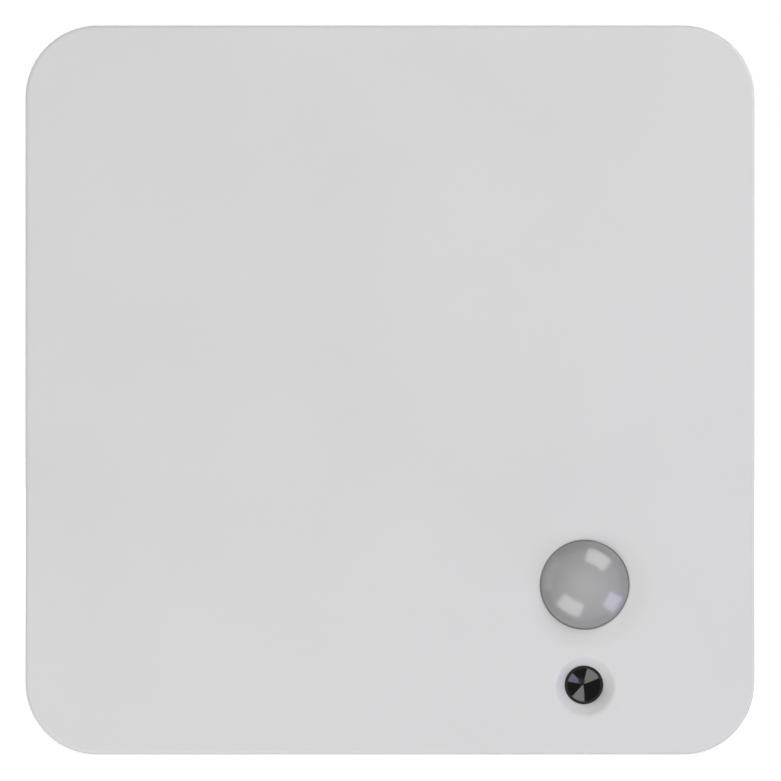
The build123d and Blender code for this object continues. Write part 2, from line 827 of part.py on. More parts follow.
# Packages: the controller, the sensor's amplifier, the crystal, the status light and the chips
with BuildPart() as controller_chip:
    with BuildSketch(depth_plane(board_rear)):
        with Locations((corner_x + controller_left, corner_z + controller_up)):
            Rectangle(controller_size, controller_size)
    extrude(amount=-controller_height)
    chamfer(controller_chip.faces().sort_by(Axis.Y)[-1].edges(), package_chamfer)

controller_chip.part.label = "controller_chip"
export_step(controller_chip.part, "parts/controller_chip.step")

with BuildPart() as amplifier_chip:
    with BuildSketch(depth_plane(board_rear)):
        with Locations((amplifier_x, amplifier_z)):
            Rectangle(amplifier_length, amplifier_width)
    extrude(amount=-amplifier_height)
    chamfer(amplifier_chip.faces().sort_by(Axis.Y)[-1].edges(), package_chamfer)

amplifier_chip.part.label = "amplifier_chip"
export_step(amplifier_chip.part, "parts/amplifier_chip.step")

with BuildPart() as clock_crystal:
    with BuildSketch(depth_plane(board_rear)):
        with Locations((corner_x + crystal_left, corner_z + crystal_up)):
            Rectangle(crystal_length, crystal_width)
    extrude(amount=-crystal_height)
    chamfer(clock_crystal.edges().filter_by(Axis.Y), package_chamfer)

clock_crystal.part.label = "clock_crystal"
export_step(clock_crystal.part, "parts/clock_crystal.step")

with BuildPart() as status_light:
    with BuildSketch(depth_plane(board_rear)):
        with Locations((led_x, switch_z)):
            Rectangle(led_width, led_length)
    extrude(amount=-led_height)

status_light.part.label = "status_light"
export_step(status_light.part, "parts/status_light.step")

with BuildPart() as passive_chips:
    with BuildSketch(depth_plane(board_rear)):
        with Locations((corner_x + chip_left, corner_z + chip_up)):
            with GridLocations(chip_pitch, chip_pitch, chip_columns, chip_rows):
                Rectangle(chip_width, chip_length)
    extrude(amount=-chip_height)

passive_chips.part.label = "passive_chips"
export_step(passive_chips.part, "parts/passive_chips.step")
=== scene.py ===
import math

import bmesh
import bpy
from mathutils import Matrix, Vector


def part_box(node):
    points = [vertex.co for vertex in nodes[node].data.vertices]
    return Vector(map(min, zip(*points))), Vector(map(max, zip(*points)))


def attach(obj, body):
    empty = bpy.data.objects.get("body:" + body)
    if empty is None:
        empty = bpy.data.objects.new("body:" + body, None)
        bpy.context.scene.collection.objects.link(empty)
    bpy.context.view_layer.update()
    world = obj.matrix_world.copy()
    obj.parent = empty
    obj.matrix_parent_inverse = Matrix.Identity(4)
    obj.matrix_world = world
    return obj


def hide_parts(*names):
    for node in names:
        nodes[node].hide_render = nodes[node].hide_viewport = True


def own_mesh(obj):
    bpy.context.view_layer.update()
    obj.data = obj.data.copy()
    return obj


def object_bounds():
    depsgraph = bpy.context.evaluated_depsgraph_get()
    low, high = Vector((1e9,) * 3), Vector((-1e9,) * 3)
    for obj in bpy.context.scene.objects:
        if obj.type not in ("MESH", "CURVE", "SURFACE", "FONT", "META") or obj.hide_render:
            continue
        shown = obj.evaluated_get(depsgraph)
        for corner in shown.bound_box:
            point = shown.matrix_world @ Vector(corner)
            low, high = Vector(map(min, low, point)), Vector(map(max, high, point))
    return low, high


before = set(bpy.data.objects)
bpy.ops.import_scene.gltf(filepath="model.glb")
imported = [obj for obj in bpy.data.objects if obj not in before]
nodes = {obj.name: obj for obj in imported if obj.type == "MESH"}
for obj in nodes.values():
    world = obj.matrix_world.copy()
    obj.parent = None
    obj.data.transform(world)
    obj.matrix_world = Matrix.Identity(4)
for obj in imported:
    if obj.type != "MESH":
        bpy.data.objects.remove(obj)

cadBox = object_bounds()
scene = bpy.context.scene
mm = 0.001  # sizes below are in millimetres
wholeTurn = 2 * math.pi


def nodeBox(name):  # lowest and highest corner of a CAD node, in millimetres
    low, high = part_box(name)
    return low / mm, high / mm


def nodeCorners(name):  # corners and middle as (x, depth, z), where depth is the distance from the wall
    low, high = (Vector((x, -y, z)) for x, y, z in nodeBox(name))
    return low, high, (low + high) / 2


def nodeMiddle(name):
    return nodeCorners(name)[2]


class Values(dict):  # a piece's values, read as plain words
    __getattr__ = dict.__getitem__


def addObject(name, data):
    made = bpy.data.objects.new(name, data)
    scene.collection.objects.link(made)
    return made


def tone(red, green, blue):  # a colour from 0 to 255 as a picture shows it, by the sRGB curve
    def linear(value):
        value /= 255
        return value / 12.92 if value < 0.04045 else ((value + 0.055) / 1.055) ** 2.4
    return linear(red), linear(green), linear(blue), 1.0


def grey(value):
    return tone(value, value, value)


# Nodes

def mathNode(operation):  # a method that makes one maths node
    return lambda first, second: first.sum(operation, first, second)


class Wire:  # a node's socket that sums can be written with
    def __init__(self, owner, socket):
        self.owner, self.socket = owner, socket

    def sum(self, operation, *values):
        return self.owner.node("Math", {"operation": operation}, dict(enumerate(values)))

    def between(self, low, high):  # low where the wire is 0, and high where it is 1
        return self * (high - low) + low

    def __rsub__(self, other):
        return self.sum("SUBTRACT", other, self)

    def __abs__(self):
        return self.sum("ABSOLUTE", self)

    __add__ = __radd__ = mathNode("ADD")
    __sub__ = mathNode("SUBTRACT")
    __mul__ = __rmul__ = mathNode("MULTIPLY")
    __truediv__ = mathNode("DIVIDE")
    __pow__ = mathNode("POWER")
    __gt__ = mathNode("GREATER_THAN")
    __lt__ = mathNode("LESS_THAN")


class Nodes:  # a node tree, with one method that adds any node
    def __init__(self, tree):
        self.tree = tree

    def node(self, kind, settings=None, values=None, output=0):
        made = self.tree.nodes.new("ShaderNode" + kind)
        for setting, value in (settings or {}).items():
            if setting == "stops":
                ramp = made.color_ramp.elements
                while len(ramp) < len(value):
                    ramp.new(1.0)
                for stop, (position, colour) in zip(ramp, value):
                    stop.position, stop.color = position, colour
            else:
                setattr(made, setting, value)
        for key, value in (values or {}).items():
            found = [s for s in made.inputs if key in (s.identifier, s.name)]
            self.join(value, made.inputs[key] if isinstance(key, int) else found[0])
        return Wire(self, made.outputs[output])

    def join(self, value, socket):
        if isinstance(value, Wire):
            self.tree.links.new(value.socket, socket)
        else:
            socket.default_value = value


class Finish(Nodes):  # one material, with the nodes that feed its shader
    def __init__(self, name, **fixed):
        self.material = bpy.data.materials.new(name)
        self.material.use_nodes = True
        super().__init__(self.material.node_tree)
        self.shader = self.tree.nodes["Principled BSDF"]
        self.feed(**fixed)
        self.place = self.node("TexCoord", output="Object")

    def feed(self, **wires):
        for words, wire in wires.items():
            self.join(wire, self.shader.inputs[words.replace("_", " ")])
        return self.material

    def noise(self, size, detail=2.0, roughness=0.5, place=None):  # size of a speck in millimetres
        return self.node("TexNoise", None, {
            "Vector": place or self.place, "Scale": 1 / (size * mm),
            "Detail": detail, "Roughness": roughness,
        }, "Fac")

    def ramp(self, factor, *stops):
        return self.node("ValToRGB", {"stops": stops}, {"Fac": factor}, "Color")

    def blend(self, factor, first, second):
        return self.node("Mix", {"data_type": "RGBA"}, {
            "Factor_Float": factor, "A_Color": first, "B_Color": second,
        }, 2)

    def bump(self, height, strength, depth):  # depth in millimetres
        return self.node("Bump", None, {
            "Height": height, "Strength": strength, "Distance": depth * mm,
        }, "Normal")

    def axes(self):  # the three coordinates in millimetres
        parts = [self.node("SeparateXYZ", None, {"Vector": self.place}, axis) for axis in "XYZ"]
        return [part / mm for part in parts]

    def round(self, x, z):  # distance in millimetres from an axis square to the face
        acrossX, _, acrossZ = self.axes()
        return ((acrossX - x) ** 2 + (acrossZ - z) ** 2) ** 0.5


# Camera and lights

print("camera and lights")
view = Values(
    lens=135, sensor=36, nearest=0.01,  # nearest is in metres
    faceWidth=86, facePixels=730, picturePixels=781,
    offset=0.5,  # pixels between the middle of the object and of the picture
)
pixel = view.faceWidth * mm / view.facePixels
viewWidth = pixel * view.picturePixels
faceMiddle = Vector((0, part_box("front_cover")[0].y, 0))

cameraData = bpy.data.cameras.new("frontCamera")
cameraData.lens, cameraData.sensor_width = view.lens, view.sensor
cameraData.clip_start = view.nearest
camera = addObject("frontCamera", cameraData)
camera.rotation_euler = (math.pi / 2, 0, 0)
camera.location = faceMiddle + Vector((
    view.offset * pixel, -viewWidth * view.lens / view.sensor, -view.offset * pixel,
))
scene.camera = camera

# Azimuth turns anticlockwise from the right, as the front view shows it, and offAxis is the angle
# from the line of sight, so more than 90 stands behind the object. Lengths are in metres.
studioLights = {  # azimuth, offAxis, distance, size, power, colour
    "keyLight": (57, 60, 0.6, (0.47, 0.36), 1.93, (1.0, 1.0, 0.982)),
    "fillLight": (243, 55, 0.6, (0.48, 0.36), 1.82, (1.0, 0.995, 0.978)),
    "sideLight": (326, 74, 0.6, (0.27, 0.36), 1.06, (0.74, 0.72, 1.0)),
    "leftPanel": (165, 88, 0.8, (0.9, 0.6), 1.3, (1.0, 1.0, 1.0)),
    "rearLight": (8, 116, 0.9, (0.7, 0.6), 1.9, (1.0, 0.99, 0.82)),
    "rearFill": (140, 150, 0.9, (0.6, 0.6), 4.6, (0.975, 0.98, 1.0)),
}
sight = Vector((0, -1, 0))
for name, (azimuth, offAxis, distance, size, power, colour) in studioLights.items():
    lamp = bpy.data.lights.new(name, "AREA")
    lamp.shape = "RECTANGLE"
    lamp.size, lamp.size_y = size
    lamp.energy, lamp.color = power, colour
    off, turn = math.radians(offAxis), math.radians(azimuth)
    out = Vector((math.sin(off) * math.cos(turn), -math.cos(off), math.sin(off) * math.sin(turn)))
    inward = (sight - sight.dot(out) * out).normalized()
    facing = Matrix((inward.cross(out), inward, out)).transposed().to_4x4()
    light = addObject(name, lamp)
    light.matrix_world = Matrix.Translation(faceMiddle + out * distance) @ facing
    light.visible_camera = False

# Brightness that the camera sees, and that lights the object: all round, and in front of it
roomLight = Values(seen=1.0, ambient=0.2, front=0.62, frontEdge=(0.78, 0.97))
world = bpy.data.worlds.new("studioRoom")
world.use_nodes = True
world.node_tree.nodes.clear()
sky = Nodes(world.node_tree)
seen, around, ahead = (sky.node("Background", None, {"Color": grey(255), "Strength": roomLight[key]})
                       for key in ("seen", "ambient", "front"))
toFront = sky.node("SeparateXYZ", None, {"Vector": sky.node("TexCoord", output="Generated")}, "Y")
first, last = roomLight.frontEdge
cap = sky.node("MapRange", {"interpolation_type": "SMOOTHSTEP"}, {
    "Value": toFront, "From Min": -first, "From Max": -last,
})
room = sky.node("MixShader", None, {0: cap, 1: around, 2: ahead})
choice = sky.node("MixShader", None, {0: sky.node("LightPath", output="Is Camera Ray"), 1: room, 2: seen})
sky.join(choice, world.node_tree.nodes.new("ShaderNodeOutputWorld").inputs["Surface"])
scene.world = world
scene.view_settings.view_transform = "Standard"

# Finishes

def shade(colour, factor, lift=0.0):  # a lighter or darker colour
    return tuple(min(1.0, part * factor + lift) for part in colour[:3]) + (1.0,)


# In a look, a pattern's number is the width of its specks in millimetres
plasticLook = Values(cloud=22.0, gloss=3.0)


def mouldedPlastic(name, colour, grain=0.16, depth=0.006, rough=(0.42, 0.56), drift=0.025, **fixed):
    finish = Finish(name, IOR=1.5, **fixed)
    deep, pale = shade(colour, 1 - drift), shade(colour, 1 + drift)
    broad, fine = finish.noise(plasticLook.cloud), finish.noise(grain, 3.0, 0.6)
    return finish.feed(
        Base_Color=finish.ramp(broad * 0.6 + fine * 0.4, (0.25, deep), (0.75, pale)),
        Roughness=finish.noise(plasticLook.gloss).between(*rough),
        Normal=finish.bump(fine, 0.5, depth),
    )


metalLook = Values(scratch=0.12, stain=2.2, dull=0.78)


def metal(name, colour, rough=(0.18, 0.34), scratches=0.35, stretch=(1, 1, 1), depth=0.004, **fixed):
    finish = Finish(name, Metallic=1.0, **fixed)
    brushed = finish.node("Mapping", None, {"Vector": finish.place, "Scale": stretch}, "Vector")
    marks = finish.noise(metalLook.scratch, 3.0, 0.65, brushed)
    stain = finish.noise(metalLook.stain, 3.0, 0.6)
    return finish.feed(
        Base_Color=finish.ramp(stain, (0.3, shade(colour, metalLook.dull)), (0.62, colour)),
        Roughness=(marks * 0.5 + stain * 0.5).between(*rough),
        Normal=finish.bump(marks, scratches, depth),
    )


def speckled(name, speck, stops, rough, relief, gloss=None, wave=None, **fixed):
    # speck is a noise's size, detail and roughness, and gloss and wave are the sizes of two more
    finish = Finish(name, **fixed)
    specks = finish.noise(*speck)
    shine = finish.noise(gloss) if gloss else specks
    bumps = finish.noise(wave) if wave else specks
    return finish.feed(
        Base_Color=finish.ramp(specks, *stops),
        Roughness=shine.between(*rough),
        Normal=finish.bump(bumps, *relief),
    )


def chipCeramic(name, deep, colour):
    return speckled(name, (0.07, 3.0, 0.6), ((0.35, deep), (0.65, colour)),
                    rough=(0.35, 0.55), relief=(0.3, 0.005), IOR=1.6)


lensLook = Values(
    radius=5.3, veil=1.1, gloss=0.5, wave=1.5,
    greys=((0.02, 178), (0.45, 176), (0.75, 168), (0.93, 152)),  # from the middle out to the radius, darker outwards as painted shade
)


def lensMilkWithPaintedShade():  # milky thin plastic, grey over the dark can inside, with painted shade that darkens it towards the rim
    finish = Finish("lensMilkWithPaintedShade", IOR=1.66)
    middle = nodeMiddle("lens_dome")
    reach = finish.round(middle.x, middle.z) / lensLook.radius
    veil = finish.noise(lensLook.veil, 2.0)
    greys = [(place, grey(value)) for place, value in lensLook.greys]
    return finish.feed(
        # painted shade: the grey darkens from the middle out to the rim
        Base_Color=finish.ramp(reach + veil * 0.04, *greys),
        Roughness=finish.noise(lensLook.gloss).between(0.135, 0.235),
        Normal=finish.bump(finish.noise(lensLook.wave, 2.0, 0.5), 1.0, 0.03),
    )


boardLook = Values(
    weave=9.0,  # radians to a millimetre, so a thread is 0.35 mm wide
    maskEdge=0.06,  # how far the solder mask laps over the board's cut edge
    blotch=5.0, gloss=0.8, grain=0.15, fibre=0.2,
)


def boardLaminate():  # solder mask over glass cloth, with copper areas that show through
    finish = Finish("boardLaminate", IOR=1.56, Coat_Weight=0.25, Coat_Roughness=0.18)
    low, high = nodeBox("circuit_board")
    x, y, z = finish.axes()
    warp, weft = (finish.node("Math", {"operation": "SINE"}, {0: way * boardLook.weave}) for way in (x, z))
    cloth = warp * weft
    blotch = finish.noise(boardLook.blotch, 2.0)
    mask = finish.ramp(blotch * 0.7 + cloth * 0.05, (0.25, tone(16, 74, 46)), (0.7, tone(24, 98, 60)))
    edge = abs(y - (low.y + high.y) / 2) < (high.y - low.y) / 2 - boardLook.maskEdge
    fibre = finish.noise(boardLook.fibre, 3.0)
    cut = finish.ramp(fibre, (0.3, tone(150, 140, 92)), (0.7, tone(182, 172, 118)))
    side = finish.node("NewGeometry", None, None, "Normal")
    across = abs(finish.node("SeparateXYZ", None, {"Vector": side}, "Y")) < 0.5
    return finish.feed(
        Base_Color=finish.blend(edge * across, mask, cut),
        Roughness=finish.noise(boardLook.gloss).between(0.3, 0.42),
        Normal=finish.bump(cloth * 0.3 + finish.noise(boardLook.grain) * 0.7, 0.25, 0.01),
    )


sleeveLook = Values(
    wear=0.4, wave=1.6,
    # where each colour begins or ends, as a share of the cell's length from its flat end
    bands=((0.0, tone(38, 44, 54)), (0.66, tone(38, 44, 54)), (0.662, tone(206, 208, 206)),
           (0.686, tone(206, 208, 206)), (0.688, tone(66, 120, 132)), (1.0, tone(62, 114, 126))),
)


def cellSleeve():  # printed shrink sleeve, plain bands along the cell
    finish = Finish("cellSleeve", IOR=1.5, Coat_Weight=0.5, Coat_Roughness=0.12)
    upperLow, upperHigh = nodeBox("upper_battery")
    lowerHigh = nodeBox("lower_battery")[1]
    x, _, z = finish.axes()
    upper = z > (upperLow.z + lowerHigh.z) / 2
    along = upper * (x - upperLow.x) + (1 - upper) * (lowerHigh.x - x)  # from the flat end of each cell
    wear = finish.noise(sleeveLook.wear, 3.0, 0.6)
    bands = finish.ramp(along / (upperHigh.x - upperLow.x), *sleeveLook.bands)
    return finish.feed(
        Base_Color=finish.blend(wear * 0.12, bands, grey(120)),
        Roughness=wear.between(0.26, 0.38),
        Normal=finish.bump(finish.noise(sleeveLook.wave), 0.2, 0.02),
    )


print("finishes")
finishes = {
    "housing": mouldedPlastic("housingPlastic", grey(229)),
    "plate": mouldedPlastic("platePlastic", tone(226, 227, 226), 0.2, 0.01, (0.5, 0.64)),
    "lens": lensMilkWithPaintedShade(),
    "guide": speckled(  # smooth, nearly black plastic with fine dust
        "guideBlack", (0.06, 2.0, 0.7), ((0.55, tone(5, 5, 6)), (0.8, tone(14, 14, 16))),
        rough=(0.05, 0.13), relief=(0.3, 0.003), gloss=0.7, wave=0.12, IOR=1.53),
    "board": boardLaminate(),
    "holder": mouldedPlastic("holderPlastic", tone(42, 43, 45), 0.25, 0.01, (0.4, 0.55), 0.1),
    "sleeve": cellSleeve(),
    "cellSteel": metal("cellSteel", tone(205, 205, 203), (0.2, 0.36)),
    "washer": mouldedPlastic("washerPaper", tone(190, 186, 176), 0.3, 0.02, (0.7, 0.85), 0.06),
    "nickel": metal("contactNickel", tone(214, 210, 200), (0.16, 0.32), 0.4, (1, 1, 6)),
    "screw": metal("screwSteel", tone(186, 188, 190), (0.22, 0.4), 0.4),
    "can": metal("canSteel", tone(208, 208, 204), (0.24, 0.4), 0.5, (1, 1, 5)),
    "tin": metal("solderTin", tone(200, 201, 203), (0.2, 0.34), 0.3),
    "gold": metal("leadGold", tone(226, 186, 98), (0.16, 0.3), 0.3),
    "silicon": metal("windowSilicon", tone(92, 84, 92), (0.08, 0.14), 0.1),
    "aluminium": metal("capacitorAluminium", tone(214, 215, 216), (0.26, 0.4), 0.5, (1, 6, 1)),
    "black": speckled(
        "packageEpoxy", (0.05, 2.0, 0.7),
        ((0.4, tone(24, 24, 26)), (0.7, shade(tone(24, 24, 26), 1.7, 0.004))),
        rough=(0.45, 0.62), relief=(0.5, 0.006), gloss=0.4, IOR=1.52),
    "clear": speckled(
        "clearResin", (0.3,), ((0.3, tone(206, 204, 170)), (0.7, tone(226, 222, 186))),
        rough=(0.12, 0.22), relief=(0.1, 0.004), IOR=1.5, Coat_Weight=0.6, Coat_Roughness=0.08),
    "switch": mouldedPlastic("switchPlastic", tone(30, 30, 32), 0.2, 0.01, (0.4, 0.55), 0.1),
    "button": mouldedPlastic("buttonPlastic", tone(176, 62, 40), 0.2, 0.008, (0.35, 0.5), 0.05),
    "ceramic": chipCeramic("chipCeramic", tone(160, 122, 86), tone(188, 150, 112)),
    "resistor": chipCeramic("resistorGlaze", tone(22, 22, 26), tone(34, 34, 38)),
    "antenna": chipCeramic("antennaCeramic", tone(206, 206, 198), tone(226, 226, 220)),
    "mark": chipCeramic("whiteInk", tone(214, 214, 208), tone(232, 232, 226)),
    "copper": mouldedPlastic("coveredCopper", tone(46, 140, 84), 0.4, 0.004, (0.26, 0.36), 0.06,
                             Coat_Weight=0.25, Coat_Roughness=0.18),
}

nodesOf = {  # the CAD nodes that take each finish
    "housing": "front_cover", "plate": "back_plate", "lens": "lens_dome", "guide": "light_guide",
    "board": "circuit_board radio_module", "screw": "board_screws", "holder": "battery_holder",
    "nickel": "positive_contact negative_contact bridge_contact upper_spring lower_spring",
    "sleeve": "upper_battery lower_battery", "can": "pir_can pir_base radio_shield clock_crystal",
    "silicon": "pir_window", "gold": "pir_leads", "clear": "light_sensor status_light",
    "switch": "switch_body", "button": "service_button", "antenna": "radio_antenna",
    "black": "climate_sensor controller_chip amplifier_chip capacitor_base",
    "aluminium": "capacitor_can", "ceramic": "passive_chips",
}
for finishName, names in nodesOf.items():
    for name in names.split():
        for slot in nodes[name].material_slots:
            slot.material = finishes[finishName]


# Shapes

def roundEdges(form, edges, offset, steps):
    bmesh.ops.bevel(form, geom=edges, offset=offset * mm, segments=steps, profile=0.5,
                    affect="EDGES", material=-1)


def addBlock(form, low, high, finish=0, soften=0.0, steps=2):  # corners are (x, depth, z)
    made = bmesh.ops.create_cube(form, size=1)["verts"]
    size = [abs(b - a) * mm for a, b in zip(low, high)]
    middle = [(a + b) / 2 * mm for a, b in zip(low, high)]
    bmesh.ops.scale(form, vec=size, verts=made)
    bmesh.ops.translate(form, vec=(middle[0], -middle[1], middle[2]), verts=made)
    for face in {f for v in made for f in v.link_faces}:
        face.material_index = finish
    if soften:
        roundEdges(form, list({e for v in made for e in v.link_edges}), soften, steps)


def addSlab(form, low, high, depths, inset=0.0, finish=0, soften=0.0, steps=2):
    # a block between two depths, inset on its four sides from a node's corners
    addBlock(form, (low.x + inset, depths[0], low.z + inset), (high.x - inset, depths[1], high.z - inset),
             finish, soften, steps)


def addReach(form, x, side, reach, z, half, depths, finish=0, soften=0.0, steps=2):
    # a block that reaches out sideways from x, and half to either side of z
    addBlock(form, (x + side * reach[0], depths[0], z - half), (x + side * reach[1], depths[1], z + half),
             finish, soften, steps)


def addTurned(form, origin, axis, outline, steps=64, finish=0, closed=False):
    # the outline is a row of (radius, distance along the axis)
    origin, axis = Vector(origin) * mm, Vector(axis)
    side = Vector((1, 0, 0)) if axis.y else Vector((0, 0, 1))
    verts = [form.verts.new(origin + (side * radius + axis * along) * mm) for radius, along in outline]
    edges = [form.edges.new(pair) for pair in zip(verts, verts[1:])]
    if closed:
        edges.append(form.edges.new((verts[-1], verts[0])))
    before = set(form.faces)
    bmesh.ops.spin(form, geom=verts + edges, cent=origin, axis=axis, angle=wholeTurn, steps=steps,
                   use_merge=True)
    for face in set(form.faces) - before:
        face.material_index = finish


def addRound(form, x, z, outline, steps, finish=0, closed=False):
    # turned about a line square to the face, so the outline is a row of (radius, depth)
    addTurned(form, (x, 0, z), (0, -1, 0), outline, steps, finish, closed)


def drum(radius, top, bottom):
    return [(0, top), (radius, top), (radius, bottom), (0, bottom)]


def arcOutline(centre, radius, start, end, steps):  # points of a round part of an outline
    turns = [math.radians(start + (end - start) * i / steps) for i in range(steps + 1)]
    return [(centre[0] + radius * math.cos(t), centre[1] + radius * math.sin(t)) for t in turns]


def spaced(count, pitch):  # evenly spaced places about 0
    return [(i - (count - 1) / 2) * pitch for i in range(count)]


def tubeForm(name, runs, radius, kind, roundness):  # round wire along rows of points in millimetres
    curve = bpy.data.curves.new(name, "CURVE")
    curve.dimensions, curve.bevel_depth, curve.bevel_resolution = "3D", radius * mm, roundness
    curve.use_fill_caps = True
    for run in runs:
        line = curve.splines.new(kind)
        line.points.add(len(run) - 1)
        for point, place in zip(line.points, run):
            point.co = (*(value * mm for value in place), 1)
        if kind == "NURBS":
            line.order_u, line.use_endpoint_u = 4, True
    holder = addObject(name, curve)
    mesh = bpy.data.meshes.new_from_object(holder.evaluated_get(bpy.context.evaluated_depsgraph_get()))
    bpy.data.objects.remove(holder)
    form = bmesh.new()
    form.from_mesh(mesh)
    return form


def closeForm(form):  # points in one place become one, and the faces point outwards
    bmesh.ops.remove_doubles(form, verts=form.verts, dist=1e-4 * mm)
    bmesh.ops.recalc_face_normals(form, faces=form.faces)


def addMesh(name, form):
    mesh = bpy.data.meshes.new(name)
    form.to_mesh(mesh)
    form.free()
    return addObject(name, mesh)


def makePiece(name, form, finishNames, stands=(), body="sensor_unit", sharp=32, even=False):
    # stands are the nodes it replaces, and edges turned by more than sharp, in degrees, show
    closeForm(form)
    for face in form.faces:
        face.smooth = True
    for edge in form.edges:
        edge.smooth = edge.is_manifold and edge.calc_face_angle(0) < math.radians(sharp)
    piece = addMesh(name, form)
    for finishName in finishNames:
        piece.data.materials.append(finishes[finishName])
    if even:
        piece.modifiers.new("evenNormals", "WEIGHTED_NORMAL").keep_sharp = True
    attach(piece, body)
    if stands:
        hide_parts(*stands)
    return piece


def cutOut(piece, cutter):  # takes the cutter's shape out of a piece
    closeForm(cutter)
    tool = addMesh("cutter", cutter)
    cut = piece.modifiers.new("cut", "BOOLEAN")
    cut.operation, cut.object, cut.solver, cut.use_self = "DIFFERENCE", tool, "EXACT", True
    form = bmesh.new()
    form.from_object(piece, bpy.context.evaluated_depsgraph_get())
    piece.modifiers.clear()
    bpy.data.objects.remove(tool)
    bmesh.ops.delete(form, geom=[edge for edge in form.edges if edge.is_wire], context="EDGES")
    form.to_mesh(piece.data)
    form.free()


# The lens and the light guide, which the photograph shows

print("lens and light guide")
lens = Values(
    ball=6.8, wall=5.24, top=28, flange=6.64, flangeDepths=(24, 23.2),
    skirtEnd=21.5, inside=4.64, shoulderRound=0.16, domeSteps=28, around=128,
    collar=5.295, collarDepths=(25.55, 25.54),  # a ledge that fills the hole in the dish
    zones=[(4.64, 24.95), (3.3, 26.1), (3.3, 26.25), (1.8, 26.95), (1.8, 27.08), (0, 27.38)],
)
middle = nodeMiddle("lens_dome")
ball, wall = lens.ball, lens.wall
front, rear = lens.flangeDepths
ledge, ledgeEdge = lens.collarDepths
shoulder = math.degrees(math.acos(wall / ball))
outline = arcOutline((0, lens.top - ball), ball, 90, shoulder, lens.domeSteps)
shoulderDepth = outline[-1][1]
outline += [
    (wall, ledge), (lens.collar, ledgeEdge), (lens.collar, front),
    (lens.flange, front), (lens.flange, rear), (wall, rear),
    (wall, lens.skirtEnd), (lens.inside, lens.skirtEnd),
] + lens.zones
form = bmesh.new()
addRound(form, middle.x, middle.z, outline, lens.around)
near = 0.001  # a point as close as this lies on the edge
rim = [edge for edge in form.edges if all(
    abs(math.hypot(v.co.x / mm - middle.x, v.co.z / mm - middle.z) - wall) < near
    and abs(-v.co.y / mm - shoulderDepth) < near for v in edge.verts)]
roundEdges(form, rim, lens.shoulderRound, 3)
makePiece("lensDome", form, ["lens"], ["lens_dome"], sharp=28)

guide = Values(
    wall=2.25, rim=0.3, front=24.3, coneDepth=1.05, coneCurve=0.1, coneSteps=12,
    flange=3.2, flangeDepths=(24, 23.2), rear=22.3, edgeRound=0.05, around=96,
)
middle = nodeMiddle("light_guide")
wall, top, bottom = guide.wall, guide.front, guide.rear
front, rear = guide.flangeDepths
coneRadius = wall - guide.rim
outline = []
for step in range(guide.coneSteps + 1):  # from the tip outwards, ever a little steeper
    share = step / guide.coneSteps
    rise = share * (1 - guide.coneCurve * (1 - share))
    outline.append((coneRadius * share, top - guide.coneDepth * (1 - rise)))
outline += [
    (wall - guide.edgeRound, top), (wall, top - guide.edgeRound), (wall, front),
    (guide.flange, front), (guide.flange, rear), (wall, rear), (wall, bottom), (0, bottom),
]
form = bmesh.new()
addRound(form, middle.x, middle.z, outline, guide.around)
makePiece("lightGuide", form, ["guide"], ["light_guide"], sharp=25)

# Cells, springs and board screws

print("cells, springs and screws")
cell = Values(
    radius=7.15, length=50.5, shoulder=49.3, edgeRound=0.7, sleeveHem=5.5,
    skin=0.1, gap=0.02,  # the sleeve's thickness, and the air between it and the can
    nub=2.75, nubRound=0.35,
    # rows of (radius, distance): the base from the flat end, the ring and washer from the can's top
    base=[(0, 0.22), (4.2, 0.22), (4.7, 0.04), (5.45, 0.06)],
    ring=[(5.45, 0), (4.9, 0), (4.7, -0.25), (3.25, -0.25), (2.75, 0.1)],
    washer=[(4.75, -0.2), (4.75, -0.08), (3.2, -0.08), (3.2, -0.2)],
)
radius, bend, hem = cell.radius, cell.edgeRound, cell.sleeveHem
skin, top, nubRound = cell.skin, cell.shoulder, cell.nubRound
flat, under, canTop = radius - bend, skin + cell.gap, top - 2 * skin
sleeveOutline = [
    (hem, skin), (hem, 0), *arcOutline((flat, bend), bend, -90, 0, 6),
    *arcOutline((flat, top - bend), bend, 0, 90, 6), (hem, top), (hem, top - skin), (flat, top - skin),
    (radius - skin, top - bend), (radius - skin, bend), (flat, skin),
]
canOutline = [
    *cell.base, (cell.base[-1][0], under), (flat, under), (radius - under, bend),
    (radius - under, canTop - bend), (flat, canTop - cell.gap),
    *((across, canTop + rise) for across, rise in cell.ring),
    *arcOutline((cell.nub - nubRound, cell.length - nubRound), nubRound, 0, 90, 4),
    (0, cell.length),
]
washerOutline = [(across, canTop + rise) for across, rise in cell.washer]
springShape = Values(
    wire=0.35, large=4.1, small=2.3, length=4.1, turns=2, flatTurns=0.8,
    perTurn=20, travel=1.2,
)
wire, length = springShape.wire, springShape.length
turns = springShape.turns + 2 * springShape.flatTurns
steps = int(turns * springShape.perTurn)
for row, side in (("upper", 1), ("lower", -1)):
    low, high = nodeBox(row + "_battery")
    middle = (low + high) / 2
    flatEnd = (low.x if side > 0 else high.x, middle.y, middle.z)
    form = bmesh.new()
    addTurned(form, flatEnd, (side, 0, 0), sleeveOutline, 72, 0, closed=True)
    addTurned(form, flatEnd, (side, 0, 0), canOutline, 72, 1)
    addTurned(form, flatEnd, (side, 0, 0), washerOutline, 48, 2, closed=True)
    makePiece(row + "Cell", form, ["sleeve", "cellSteel", "washer"],
              [row + "_battery"], row + "_cell")

    # A conical coil, its large end on the contact and its small end on the cell
    coil = []
    for step in range(steps + 1):
        turn = turns * step / steps
        rise = min(max((turn - springShape.flatTurns) / springShape.turns, 0), 1)
        radius = springShape.large + (springShape.small - springShape.large) * rise
        height = wire + (length - 2 * wire) * rise
        coil.append((flatEnd[0] - side * (length - height),
                     middle.y + radius * math.sin(wholeTurn * turn),
                     middle.z + radius * math.cos(wholeTurn * turn)))
    form = tubeForm(row + "Coil", [coil], wire, "NURBS", 3)
    spring = makePiece(row + "Coil", form, ["nickel"], [row + "_spring"], sharp=50)
    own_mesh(spring)

